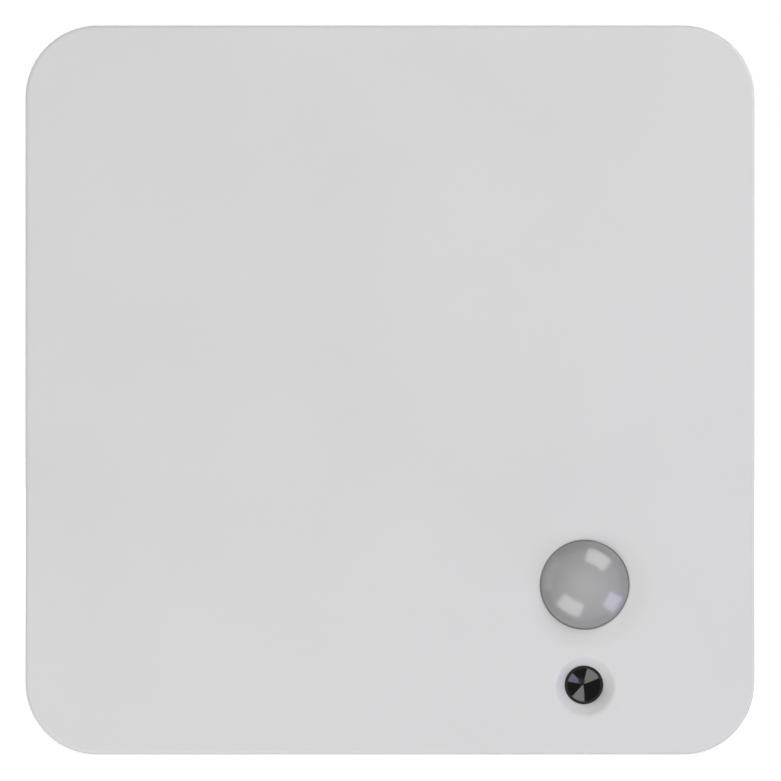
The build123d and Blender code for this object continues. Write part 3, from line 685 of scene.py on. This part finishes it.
screws = Values(
    places=[(-33, 33), (33, -33)], top=18.6, around=48,
    # radius, and distance from the top of the head
    outline=[(0, 0), (1.14, 0.08), (1.75, 0.35), (1.9, 0.55), (1.9, 1.25), (1.85, 1.3),
             (0.8, 1.3), (0.8, 5.4), (0, 5.9)],
    slotWidth=0.5, slotReach=1.05, slotDepths=(-0.3, 0.75),
)
outline = [(radius, screws.top + along) for radius, along in screws.outline]
start, end = (screws.top + depth for depth in screws.slotDepths)
wide, long = screws.slotWidth / 2, screws.slotReach
for number, (x, z) in enumerate(screws.places):
    form = bmesh.new()
    addRound(form, x, z, outline, screws.around)
    screw = makePiece(f"boardScrew{number + 1}", form, ["screw"], ["board_screws"], sharp=30)
    cutter = bmesh.new()
    for a, b in ((wide, long), (long, wide)):  # the two slots of its cross recess
        addBlock(cutter, (x - a, start, z - b), (x + a, end, z + b))
    cutOut(screw, cutter)

# Circuit board: copper, pads, vias and white ink

print("circuit board")
boardRear = -nodeBox("circuit_board")[1].y
# Heights over the board's rear, the radii of a via, and sink, how far each reaches into the board
layer = Values(copper=0.05, pad=0.07, ink=0.03, via=0.3, viaFoot=0.33, viaHole=0.15, sink=0.02)
inBoard = boardRear + layer.sink


def addTracks(name, routes, width):  # tubes along the routes, pressed flat on the board
    form = tubeForm(name, [[(x, 0, z) for x, z in route] for route in routes], width / 2, "POLY", 1)
    bmesh.ops.scale(form, vec=(1, 2 * layer.copper / width, 1), verts=form.verts)
    bmesh.ops.translate(form, vec=(0, -boardRear * mm, 0), verts=form.verts)
    makePiece(name, form, ["copper"], sharp=60)


def bus(points, count, pitch):  # parallel tracks beside a route, spread square to each run
    tracks = []
    for shift in spaced(count, pitch):
        track = []
        for j, (x, z) in enumerate(points):
            before, after = points[max(j - 1, 0)], points[min(j + 1, len(points) - 1)]
            way = Vector((after[0] - before[0], after[1] - before[1])).normalized()
            track.append((x - way.y * shift, z + way.x * shift))
        tracks.append(track)
    return tracks


# Routes, each corner an (x, z), then how many tracks run side by side and their pitch
signalRoutes = (
    bus([(-12.4, -8), (-9.5, -8), (-5.5, -12), (-5.5, -16), (-1, -20.5), (2.6, -24)], 4, 0.5)
    + bus([(-12.4, -24.5), (-9, -24.5), (-6, -27.5), (-1, -27.5), (2.6, -26.5)], 3, 0.5)
    + bus([(2, -12.6), (2, -15), (5, -18), (5, -21.6)], 2, 0.6)
    + bus([(9.4, -25), (13, -25), (16, -22), (18, -22)], 3, 0.5)
    + bus([(6.5, -28.4), (6.5, -29.6)], 4, 0.5)
    + bus([(12.4, -33.5), (18, -33.5), (21.6, -30.6), (24.8, -27.4)], 3, 0.5)
    + bus([(24, -10.6), (24, -15), (25.4, -17.4), (25.4, -20.4)], 3, 0.5)
    + bus([(-3.2, -34), (-0.5, -34), (1.5, -32), (3.6, -32)], 2, 0.5)
    + bus([(9.4, -23), (14, -18.4), (14, -12)], 2, 0.6)
    + bus([(-20, -29), (-20, -32), (-16, -36), (-10, -36)], 3, 0.6)
    + bus([(28, -10), (31, -13), (31, -25), (28, -28)], 4, 0.5)
)
powerRoutes = [
    [(-33.5, 33), (-33.5, -6), (-30.5, -9), (-29.4, -9)],
    [(33.8, 22), (33.8, -4), (30, -7.8), (26.9, -7.8)],
    [(17.4, -8), (21, -8)], [(10.4, -8), (9.2, -8.6)],
    [(-36, -36), (-36, 0), (-35, 1), (-35, 20)],
    [(36, -28), (36, 30)], [(-30, -36.3), (-8, -36.3)], [(14, -36.3), (29, -36.3)],
]
trackWidth = Values(signal=0.22, power=0.8)
addTracks("signalTracks", signalRoutes, trackWidth.signal)
addTracks("powerTracks", powerRoutes, trackWidth.power)

# Vias at the ends of every other signal track, in columns at both sides and in a row below
viaColumns = Values(x=(-34.6, -31.6, 31.8, 34.9), z=range(-26, 30, 8))
viaRow = Values(x=range(-28, 30, 4), z=-37)
vias = [end for route in signalRoutes[::2] for end in (route[0], route[-1])]
vias += [(x, z) for x in viaColumns.x for z in viaColumns.z]
vias += [(x, viaRow.z) for x in viaRow.x]
copperTop = boardRear - layer.copper
form = bmesh.new()
for x, z in vias:
    addRound(form, x, z, [(layer.viaHole, inBoard), (layer.viaHole, copperTop),
                          (layer.via, copperTop), (layer.viaFoot, inBoard)], 10, closed=True)
makePiece("boardVias", form, ["tin"], sharp=40)


def addPad(form, x, z, size):
    addBlock(form, (x - size[0] / 2, boardRear - layer.pad, z - size[1] / 2),
             (x + size[0] / 2, inBoard, z + size[1] / 2), 0, 0.03, 1)


def chipGrid(firstX, firstZ):  # column, row and place of each small chip
    corner = nodeBox("passive_chips")[0]
    for column in range(chips.columns):
        for rowNumber in range(chips.rows):
            yield (column, rowNumber, corner.x + firstX + chips.pitch * column,
                   corner.z + firstZ + chips.pitch * rowNumber)


# Small chips: a body, metal end caps and the solder beyond them
chips = Values(
    columns=4, rows=3, pitch=2.4, padReach=0.75, padSize=(0.7, 0.95),
    height=0.55, lowHeight=0.396, body=(0.5, 0.38),
    cap=(0.49, 0.8), capHalf=0.4, solder=(0.78, 0.98), solderHalf=0.36, solderRise=0.45,
)
testPads = Values(x=-10.2, z=(-16, -12, -8), size=(1.2, 1.2))
# Each part's two rows of pads: the axis they are apart along, how far each is from the part's
# middle, and the pitch, count and size of the pads
padRows = [
    ("controller_chip", "x", 3.15, 0.5, 10, (0.6, 0.26)),
    ("controller_chip", "z", 3.15, 0.5, 10, (0.26, 0.6)),
    ("amplifier_chip", "z", 2.7, 1.27, 4, (0.6, 1.5)),
    ("switch_body", "x", 3.6, 4.4, 2, (1.5, 1.2)),
    ("capacitor_base", "x", 3.6, 0, 1, (1.8, 1.5)),
    ("clock_crystal", "x", 1.35, 1.8, 2, (1, 0.8)),
    ("status_light", "z", 0.95, 0, 1, (0.9, 0.6)),
    ("climate_sensor", "x", 1.25, 0.5, 4, (0.5, 0.28)),
]
form = bmesh.new()
for z in testPads.z:  # test points beside the radio
    addPad(form, testPads.x, z, testPads.size)
for side in (-1, 1):
    for part, axis, reach, pitch, count, size in padRows:
        middle = nodeMiddle(part)
        for place in spaced(count, pitch):
            x, z = (side * reach, place) if axis == "x" else (place, side * reach)
            addPad(form, middle.x + x, middle.z + z, size)
    for _, _, x, z in chipGrid(0.8, 0.8):
        addPad(form, x + side * chips.padReach, z, chips.padSize)
makePiece("solderPads", form, ["tin"], sharp=30, even=True)

ink = Values(
    line=0.14, dot=0.3, dots=((1.4, -21.2), (20.4, -10.6), (-12.2, -4.6)),
    frames=(((-1.6, -12.6), (5.6, -5.4)), ((1.9, -29.1), (10.1, -20.9)), ((10.2, -11.8), (17.8, -4.2)),
            ((-6.4, -24.1), (-1.6, -19.9)), ((3.4, -37), (13.6, -29.9)), ((20.8, -12.2), (27.2, -3.9)),
            ((7.5, -10.8), (9.5, -7.2)), ((-29.4, -28.9), (-12.6, -4.1))),
)


def addFrame(form, low, high):  # a white outline round a part, corners (x, z)
    spread = Matrix.Diagonal(((high[0] - low[0]) * mm, (high[1] - low[1]) * mm, 1, 1))
    middle = Vector(((low[0] + high[0]) / 2, -inBoard, (low[1] + high[1]) / 2)) * mm
    place = Matrix.Translation(middle) @ Matrix.Rotation(math.pi / 2, 4, "X") @ spread
    made = bmesh.ops.create_grid(form, x_segments=1, y_segments=1, size=0.5, matrix=place)["verts"]
    inner = list({face for v in made for face in v.link_faces})
    line = bmesh.ops.inset_region(form, faces=inner, thickness=ink.line * mm,
                                  use_even_offset=True, use_boundary=True)["faces"]
    bmesh.ops.delete(form, geom=inner, context="FACES_ONLY")
    bmesh.ops.solidify(form, geom=line, thickness=(layer.ink + layer.sink) * mm)


form = bmesh.new()
for low, high in ink.frames:
    addFrame(form, low, high)
for x, z in ink.dots:  # each marks a part's first pin
    addRound(form, x, z, drum(ink.dot, boardRear - layer.ink, inBoard), 16)
makePiece("whitePrint", form, ["mark"], sharp=30)

# Solder joints of the infrared sensor's leads
joints = Values(
    ring=2.54, turns=(45, 135, 225),
    # radius, and height over the board
    outline=[(0.2, 0.75), (0.36, 0.5), (0.55, 0.2), (0.85, 0.02), (0.85, -0.02), (0.2, -0.02)],
)
outline = [(radius, boardRear - height) for radius, height in joints.outline]
middle = nodeMiddle("lens_dome")
form = bmesh.new()
for turn in joints.turns:
    x = middle.x + joints.ring * math.cos(math.radians(turn))
    z = middle.z + joints.ring * math.sin(math.radians(turn))
    addRound(form, x, z, outline, 20, closed=True)
makePiece("leadJoints", form, ["tin"], sharp=40)

# Parts on the rear of the board

print("board parts")
proud = 0.004  # how far a mark stands off its part
pinMark = Values(inset=0.8, radius=0.28, sink=0.1)


def addPackage(form, name, soften):  # a chip's body, with the mark of its first pin
    low, high, middle = nodeCorners(name)
    addBlock(form, low, high, 0, soften)
    addRound(form, low.x + pinMark.inset, high.z - pinMark.inset,
             drum(pinMark.radius, high.y - proud, high.y + pinMark.sink), 20, 1)
    return middle, (high.z - low.z) / 2


pins = Values(count=10, pitch=0.5, half=0.12, reach=(2.7, 3.04), depths=(19.72, 19.88))
form = bmesh.new()
middle, _ = addPackage(form, "controller_chip", 0.06)
half, (top, bottom) = pins.half, pins.depths
for side in (-1, 1):
    inner, outer = (side * reach for reach in pins.reach)
    for place in spaced(pins.count, pins.pitch):
        x, z = middle.x + place, middle.z + place
        addBlock(form, (middle.x + inner, top, z - half), (middle.x + outer, bottom, z + half), 2)
        addBlock(form, (x - half, top, middle.z + inner), (x + half, bottom, middle.z + outer), 2)
makePiece("controllerChip", form, ["black", "switch", "tin"], ["controller_chip"],
          sharp=30, even=True)

# Three blocks make a leg, each with its two depths and where it starts and ends beyond the body
legs = Values(
    count=4, pitch=1.27, half=0.2, root=0.1, shoulder=0.5, shoulderDepths=(18.95, 19.1),
    drop=(0.38, 0.54), dropDepths=(18.97, 19.84), foot=(0.42, 1.05), footDepths=(19.7, 19.83),
)
form = bmesh.new()
middle, halfBody = addPackage(form, "amplifier_chip", 0.12)
for side in (-1, 1):
    z = middle.z + side * halfBody
    for place in spaced(legs.count, legs.pitch):
        left, right = middle.x + place - legs.half, middle.x + place + legs.half
        top, bottom = legs.shoulderDepths
        addBlock(form, (left, top, z - legs.root), (right, bottom, z + side * legs.shoulder), 2, 0.04, 1)
        for block in ("drop", "foot"):
            (start, end), (top, bottom) = legs[block], legs[block + "Depths"]
            addBlock(form, (left, top, z + side * start), (right, bottom, z + side * end), 2, 0.04, 1)
makePiece("amplifierChip", form, ["black", "switch", "tin"], ["amplifier_chip"],
          sharp=30, even=True)

capacitor = Values(
    baseRound=0.25, tab=(2.6, 4.1), tabHalf=0.4, tabDepths=(19.7, 19.84),
    topSink=0.08, topRound=0.3, ventReach=1.7, ventHalf=0.09, ventSink=(0.05, 0.12),
    # distance in from the can's wall, with depth below its top or height over its foot
    rim=[(0.75, 0.08), (0.55, 0), (0.3, 0)],
    groove=[(0, 1.3), (0.28, 1.1), (0.28, 0.8), (0, 0.6), (0, 0.02)],
)
form = bmesh.new()
low, high, middle = nodeCorners("capacitor_base")
addBlock(form, low, high, 0, capacitor.baseRound)
for side in (-1, 1):
    addReach(form, middle.x, side, capacitor.tab, middle.z, capacitor.tabHalf,
             capacitor.tabDepths, 1, 0.03, 1)
makePiece("capacitorBase", form, ["black", "tin"], ["capacitor_base"], sharp=30, even=True)
form = bmesh.new()
low, high, middle = nodeCorners("capacitor_can")
radius, top, bottom = (high.x - low.x) / 2, high.y, low.y
curl, groove = capacitor.topRound, capacitor.groove
addRound(form, middle.x, middle.z, [
    (0, top + capacitor.topSink), *((radius - inset, top + sink) for inset, sink in capacitor.rim),
    *arcOutline((radius - curl, top + curl), curl, -90, 0, 4),
    *((radius - inset, bottom - height) for inset, height in groove), (0, bottom - groove[-1][1])], 64)
makePiece("capacitorCan", form, ["aluminium"], ["capacitor_can"], sharp=35)
form = bmesh.new()
wide, long = capacitor.ventHalf, capacitor.ventReach
start, end = (top + sink for sink in capacitor.ventSink)
for a, b in ((wide, long), (long, wide)):  # the pressed cross that lets the can vent
    addBlock(form, (middle.x - a, start, middle.z - b), (middle.x + a, end, middle.z + b), 0, 0.02, 1)
makePiece("capacitorVent", form, ["black"], sharp=30)


def addLidded(form, low, high, shape, baseFinish, lidFinish):  # a base, and a lid inset on it
    addSlab(form, low, high, (low.y, low.y - shape.base), 0, baseFinish, shape.baseRound)
    addSlab(form, low, high, (low.y - shape.lid, high.y), shape.inset, lidFinish, shape.lidRound, 3)


crystal = Values(base=0.35, lid=0.36, inset=0.14, baseRound=0.05, lidRound=0.09)
form = bmesh.new()
low, high, _ = nodeCorners("clock_crystal")
addLidded(form, low, high, crystal, 1, 0)
makePiece("clockCrystal", form, ["can", "black"], ["clock_crystal"], even=True)

climate = Values(
    base=0.3, lid=0.31, inset=0.1, baseRound=0.04, lidRound=0.08, holeOffset=0.55,
    hole=[(0, 0.05), (0.16, -proud), (0.22, -proud), (0.22, 0.08), (0, 0.08)],  # radius, depth below the lid
)
form = bmesh.new()
low, high, middle = nodeCorners("climate_sensor")
addLidded(form, low, high, climate, 0, 1)
addRound(form, middle.x + climate.holeOffset, middle.z + climate.holeOffset,
         [(radius, high.y + sink) for radius, sink in climate.hole], 20, 2)
makePiece("climateSensor", form, ["black", "can", "silicon"], ["climate_sensor"], even=True)

led = Values(base=0.25, resin=0.26, bare=0.25)  # heights, and the bare end of each terminal
form = bmesh.new()
low, high, _ = nodeCorners("status_light")
addBlock(form, low, (high.x, low.y - led.base, high.z), 1, 0.03, 1)
addBlock(form, (low.x, low.y - led.resin, low.z + led.bare), (high.x, high.y, high.z - led.bare), 0, 0.06)
makePiece("statusLight", form, ["clear", "tin"], ["status_light"], even=True)

form = bmesh.new()
for column, rowNumber, x, z in chipGrid(0.8, 0.4):
    kind = 0 if (column + rowNumber) % 3 else 1
    height = chips.lowHeight if kind else chips.height
    long, wide = chips.body
    addBlock(form, (x - long, boardRear, z - wide), (x + long, boardRear - height + 0.02, z + wide),
             kind, 0.04, 1)
    for side in (-1, 1):
        addReach(form, x, side, chips.cap, z, chips.capHalf, (boardRear, boardRear - height), 2, 0.06)
        addReach(form, x, side, chips.solder, z, chips.solderHalf,
                 (boardRear + 0.01, boardRear - height * chips.solderRise), 2, 0.09)
makePiece("passiveChips", form, ["ceramic", "resistor", "tin"], ["passive_chips"], even=True)

# Service switch: black base, steel cover with rivets, legs, and the button
switch = Values(
    coverDepths=(16.5, 16.72), baseInset=0.1, baseRound=0.15, rivetInset=0.95,
    rivet=[(0, 16.45), (0.28, 16.45), (0.4, 16.55), (0.4, 16.8), (0, 16.8)],  # radius, depth
    rivetHole=0.42, buttonHole=1.9, cutDepths=(16.2, 17),
    legInset=0.8, legHalf=0.35, legs=(-0.08, 0.12), legDepths=(17.3, 19.85),
    feet=(0, 1), feetDepths=(19.7, 19.84),
)
low, high, middle = nodeCorners("switch_body")
inset = switch.rivetInset
rivetPlaces = [(x, z) for x in (low.x + inset, high.x - inset) for z in (low.z + inset, high.z - inset)]
form = bmesh.new()
addSlab(form, low, high, (low.y, switch.coverDepths[1]), switch.baseInset, 0, switch.baseRound)
for x, z in rivetPlaces:
    addRound(form, x, z, switch.rivet, 20)
half, inset = switch.legHalf, switch.legInset
for side, x in ((-1, low.x), (1, high.x)):
    for z in (low.z + inset, high.z - inset):
        (start, end), (top, bottom) = switch.legs, switch.legDepths
        addBlock(form, (x + start, top, z - half), (x + side * end, bottom, z + half), 1, 0.04, 1)
        addReach(form, x, side, switch.feet, z, half, switch.feetDepths, 1, 0.04, 1)
makePiece("switchBase", form, ["switch", "can"], ["switch_body"], even=True)
form = bmesh.new()
addSlab(form, low, high, switch.coverDepths, 0, 0, 0.06, 1)
cover = makePiece("switchCover", form, ["can"], sharp=30)
cutter = bmesh.new()
addRound(cutter, middle.x, middle.z, drum(switch.buttonHole, *switch.cutDepths), 60)
for x, z in rivetPlaces:
    addRound(cutter, x, z, drum(switch.rivetHole, *switch.cutDepths), 22)
cutOut(cover, cutter)

button = Values(top=14.82, dish=0.02, dishRadius=0.9, round=0.25, foot=0.05)
low, high, middle = nodeCorners("service_button")
radius = (high.x - low.x) / 2
curl, top, foot = button.round, button.top, button.foot
form = bmesh.new()
addRound(form, middle.x, middle.z, [
    (0, top + button.dish), (button.dishRadius, top),
    *arcOutline((radius - curl, top + curl), curl, -90, 0, 4),
    (radius, low.y - foot), (radius - foot, low.y), (0, low.y)], 48)
makePiece("serviceButton", form, ["button"], ["service_button"], "service_button", sharp=35)

# Radio: edge contacts, shield can with folded edge, and the ceramic antenna
radio = Values(
    contacts=14, pitch=1.27, first=1.6, half=0.4, solderHalf=0.36,
    # how far each part of a contact reaches from the board's edge, and its solder's height
    top=(-0.75, 0.03), edge=(-0.02, 0.035), solder=(0.03, 0.5), solderRise=0.22,
)
form = bmesh.new()
low, high, _ = nodeCorners("radio_module")
addBlock(form, low, high, 0, 0.02, 1)
for side, x in ((-1, low.x), (1, high.x)):
    for i in range(radio.contacts):
        z = high.z - radio.first - radio.pitch * i
        addReach(form, x, side, radio.top, z, radio.half, (high.y - 0.03, high.y + 0.05), 1)
        addReach(form, x, side, radio.edge, z, radio.half, (high.y - 0.02, low.y), 1)
        addReach(form, x, side, radio.solder, z, radio.solderHalf,
                 (low.y - radio.solderRise, low.y + 0.02), 1, 0.1)
makePiece("radioBoard", form, ["board", "tin"], ["radio_module"], even=True)

shield = Values(
    canRound=0.22, fold=0.18, foldHeight=0.16,
    marks=5, markPitch=3.1, markFirst=2, markHalf=0.5, markDepths=(18.1, 18.7),
    spotInset=(2.2, 2.4),
    spot=[(0, 0.03), (0.42, -proud), (0.5, -proud), (0.5, 0.06), (0, 0.06)],  # radius, depth below the top
)
form = bmesh.new()
low, high, _ = nodeCorners("radio_shield")
addBlock(form, low, high, 0, shield.canRound, 3)
addSlab(form, low, high, (low.y, low.y - shield.foldHeight), -shield.fold, 0, 0.05, 1)
makePiece("radioShield", form, ["can"], ["radio_shield"], even=True)
form = bmesh.new()
half, (top, bottom) = shield.markHalf, shield.markDepths
for i in range(shield.marks):  # pressed marks along the can's sides
    z = low.z + shield.markFirst + shield.markPitch * i
    for side, x in ((-1, low.x), (1, high.x)):
        addBlock(form, (x - 0.02, top, z - half), (x + side * 0.05, bottom, z + half), 0, 0.02, 1)
insetX, insetZ = shield.spotInset
for x in (low.x + insetX, high.x - insetX):  # round spots near the can's corners
    for z in (low.z + insetZ, high.z - insetZ):
        addRound(form, x, z, [(radius, high.y + sink) for radius, sink in shield.spot], 24, 1)
makePiece("shieldMarks", form, ["can", "switch"], sharp=40, even=True)

antenna = Values(
    cap=0.6, capLap=0.02, bodyRound=0.08, capRound=0.09, line=0.22, thick=0.02,
    bars=6, pitch=1.2, first=1.35, barInset=0.3, topLink=0.5, bottomLink=0.28,
)
form = bmesh.new()
low, high, _ = nodeCorners("radio_antenna")
cap, line, thick = antenna.cap, antenna.line, antenna.thick
addBlock(form, (low.x + cap, low.y, low.z), (high.x - cap, high.y, high.z), 0, antenna.bodyRound)
for start, end in ((low.x, low.x + cap + antenna.capLap), (high.x - cap - antenna.capLap, high.x)):
    addBlock(form, (start, low.y, low.z), (end, high.y, high.z), 1, antenna.capRound)
for i in range(antenna.bars):  # a printed line that goes to and fro
    x = low.x + antenna.first + antenna.pitch * i
    addBlock(form, (x, high.y - thick, low.z + antenna.barInset),
             (x + line, high.y + thick, high.z - antenna.barInset), 1)
    z = high.z - antenna.topLink if i % 2 else low.z + antenna.bottomLink
    if i < antenna.bars - 1:
        addBlock(form, (x, high.y - thick, z), (x + antenna.pitch + line, high.y + thick, z + line), 1)
makePiece("radioAntenna", form, ["antenna", "tin"], ["radio_antenna"], even=True)

# Polarity marks, moulded on the holder's end walls beside each contact
marks = Values(length=1.5, width=0.32, height=0.12, cross=0.6, inset=0.75, sink=0.05)
form = bmesh.new()
low, high, _ = nodeCorners("battery_holder")
top, bottom = high.y - marks.height, high.y + marks.sink
long, wide, cross = marks.length / 2, marks.width / 2, marks.cross
for row, side in (("upper", 1), ("lower", -1)):
    z = nodeMiddle(row + "_battery").z
    for end, x in ((-1, low.x + marks.inset), (1, high.x - marks.inset)):
        addBlock(form, (x - wide, top, z - long), (x + wide, bottom, z + long), 0, 0.03, 1)
        if end == side:
            addBlock(form, (x - cross, top, z - wide), (x + cross, bottom, z + wide), 0, 0.03, 1)
makePiece("polarityMarks", form, ["holder"], even=True)

# Floor

print("floor")
floorLook = Values(
    spread=3.0, cells=8,  # the sheet's side in metres
    # glow is the painted light that the floor gives off near the object, and shade the same in its painted
    # shadow
    glow=0.75, shade=0.5, near=120, far=340, fibre=0.8,
    shadeHalf=43, shadeSpread=0.125,  # half the painted shadow's width, and its growth with the depth
    shadeEdge=(0.6, 0.97), frontFade=14, greys=(176, 186),
)
finish = Finish("floorPaperPaintedGlow", Roughness=1.0, Specular_IOR_Level=0.0, Emission_Strength=1.0)
floorX, floorY, _ = finish.axes()
faceDepth = faceMiddle.y / mm
reach = (floorX ** 2 + (floorY - faceDepth / 2) ** 2) ** 0.5 / floorLook.far
# The floor glows as painted light, less behind the object where its painted soft shadow lies, and full white
# far out
sideways = abs(floorX) / ((floorY - faceDepth) * floorLook.shadeSpread + floorLook.shadeHalf)
inner, outer = floorLook.shadeEdge
paintedShadowArea = finish.ramp(sideways, (inner, grey(255)), (outer, grey(0)))
frontFade = floorLook.frontFade
inFront = finish.ramp((faceDepth + frontFade - floorY) / frontFade, (0.0, grey(255)), (1.0, grey(0)))
glow, shadow = ((floorLook[key],) * 3 + (1.0,) for key in ("glow", "shade"))
# painted shadow behind the object, and painted glow round it
paintedGlowNear = finish.blend(paintedShadowArea, glow, finish.blend(inFront, glow, shadow))
fibre = finish.noise(floorLook.fibre) * 0.01
fade = finish.ramp(reach, (floorLook.near / floorLook.far, grey(0)), (1.0, grey(255)))
nearGrey, farGrey = (grey(value) for value in floorLook.greys)
finish.feed(Emission_Color=finish.blend(fade, paintedGlowNear, grey(255)),
            Base_Color=finish.ramp(reach + fibre, (0.0, nearGrey), (1.0, farGrey)))
form = bmesh.new()
bmesh.ops.create_grid(form, x_segments=floorLook.cells, y_segments=floorLook.cells,
                      size=floorLook.spread / 2)
bmesh.ops.translate(form, vec=(0, 0, cadBox[0].z), verts=form.verts)
floor = addMesh("floorSheet", form)
floor.data.materials.append(finish.material)
floor.visible_shadow = floor.visible_glossy = floor.visible_diffuse = floor.visible_transmission = False
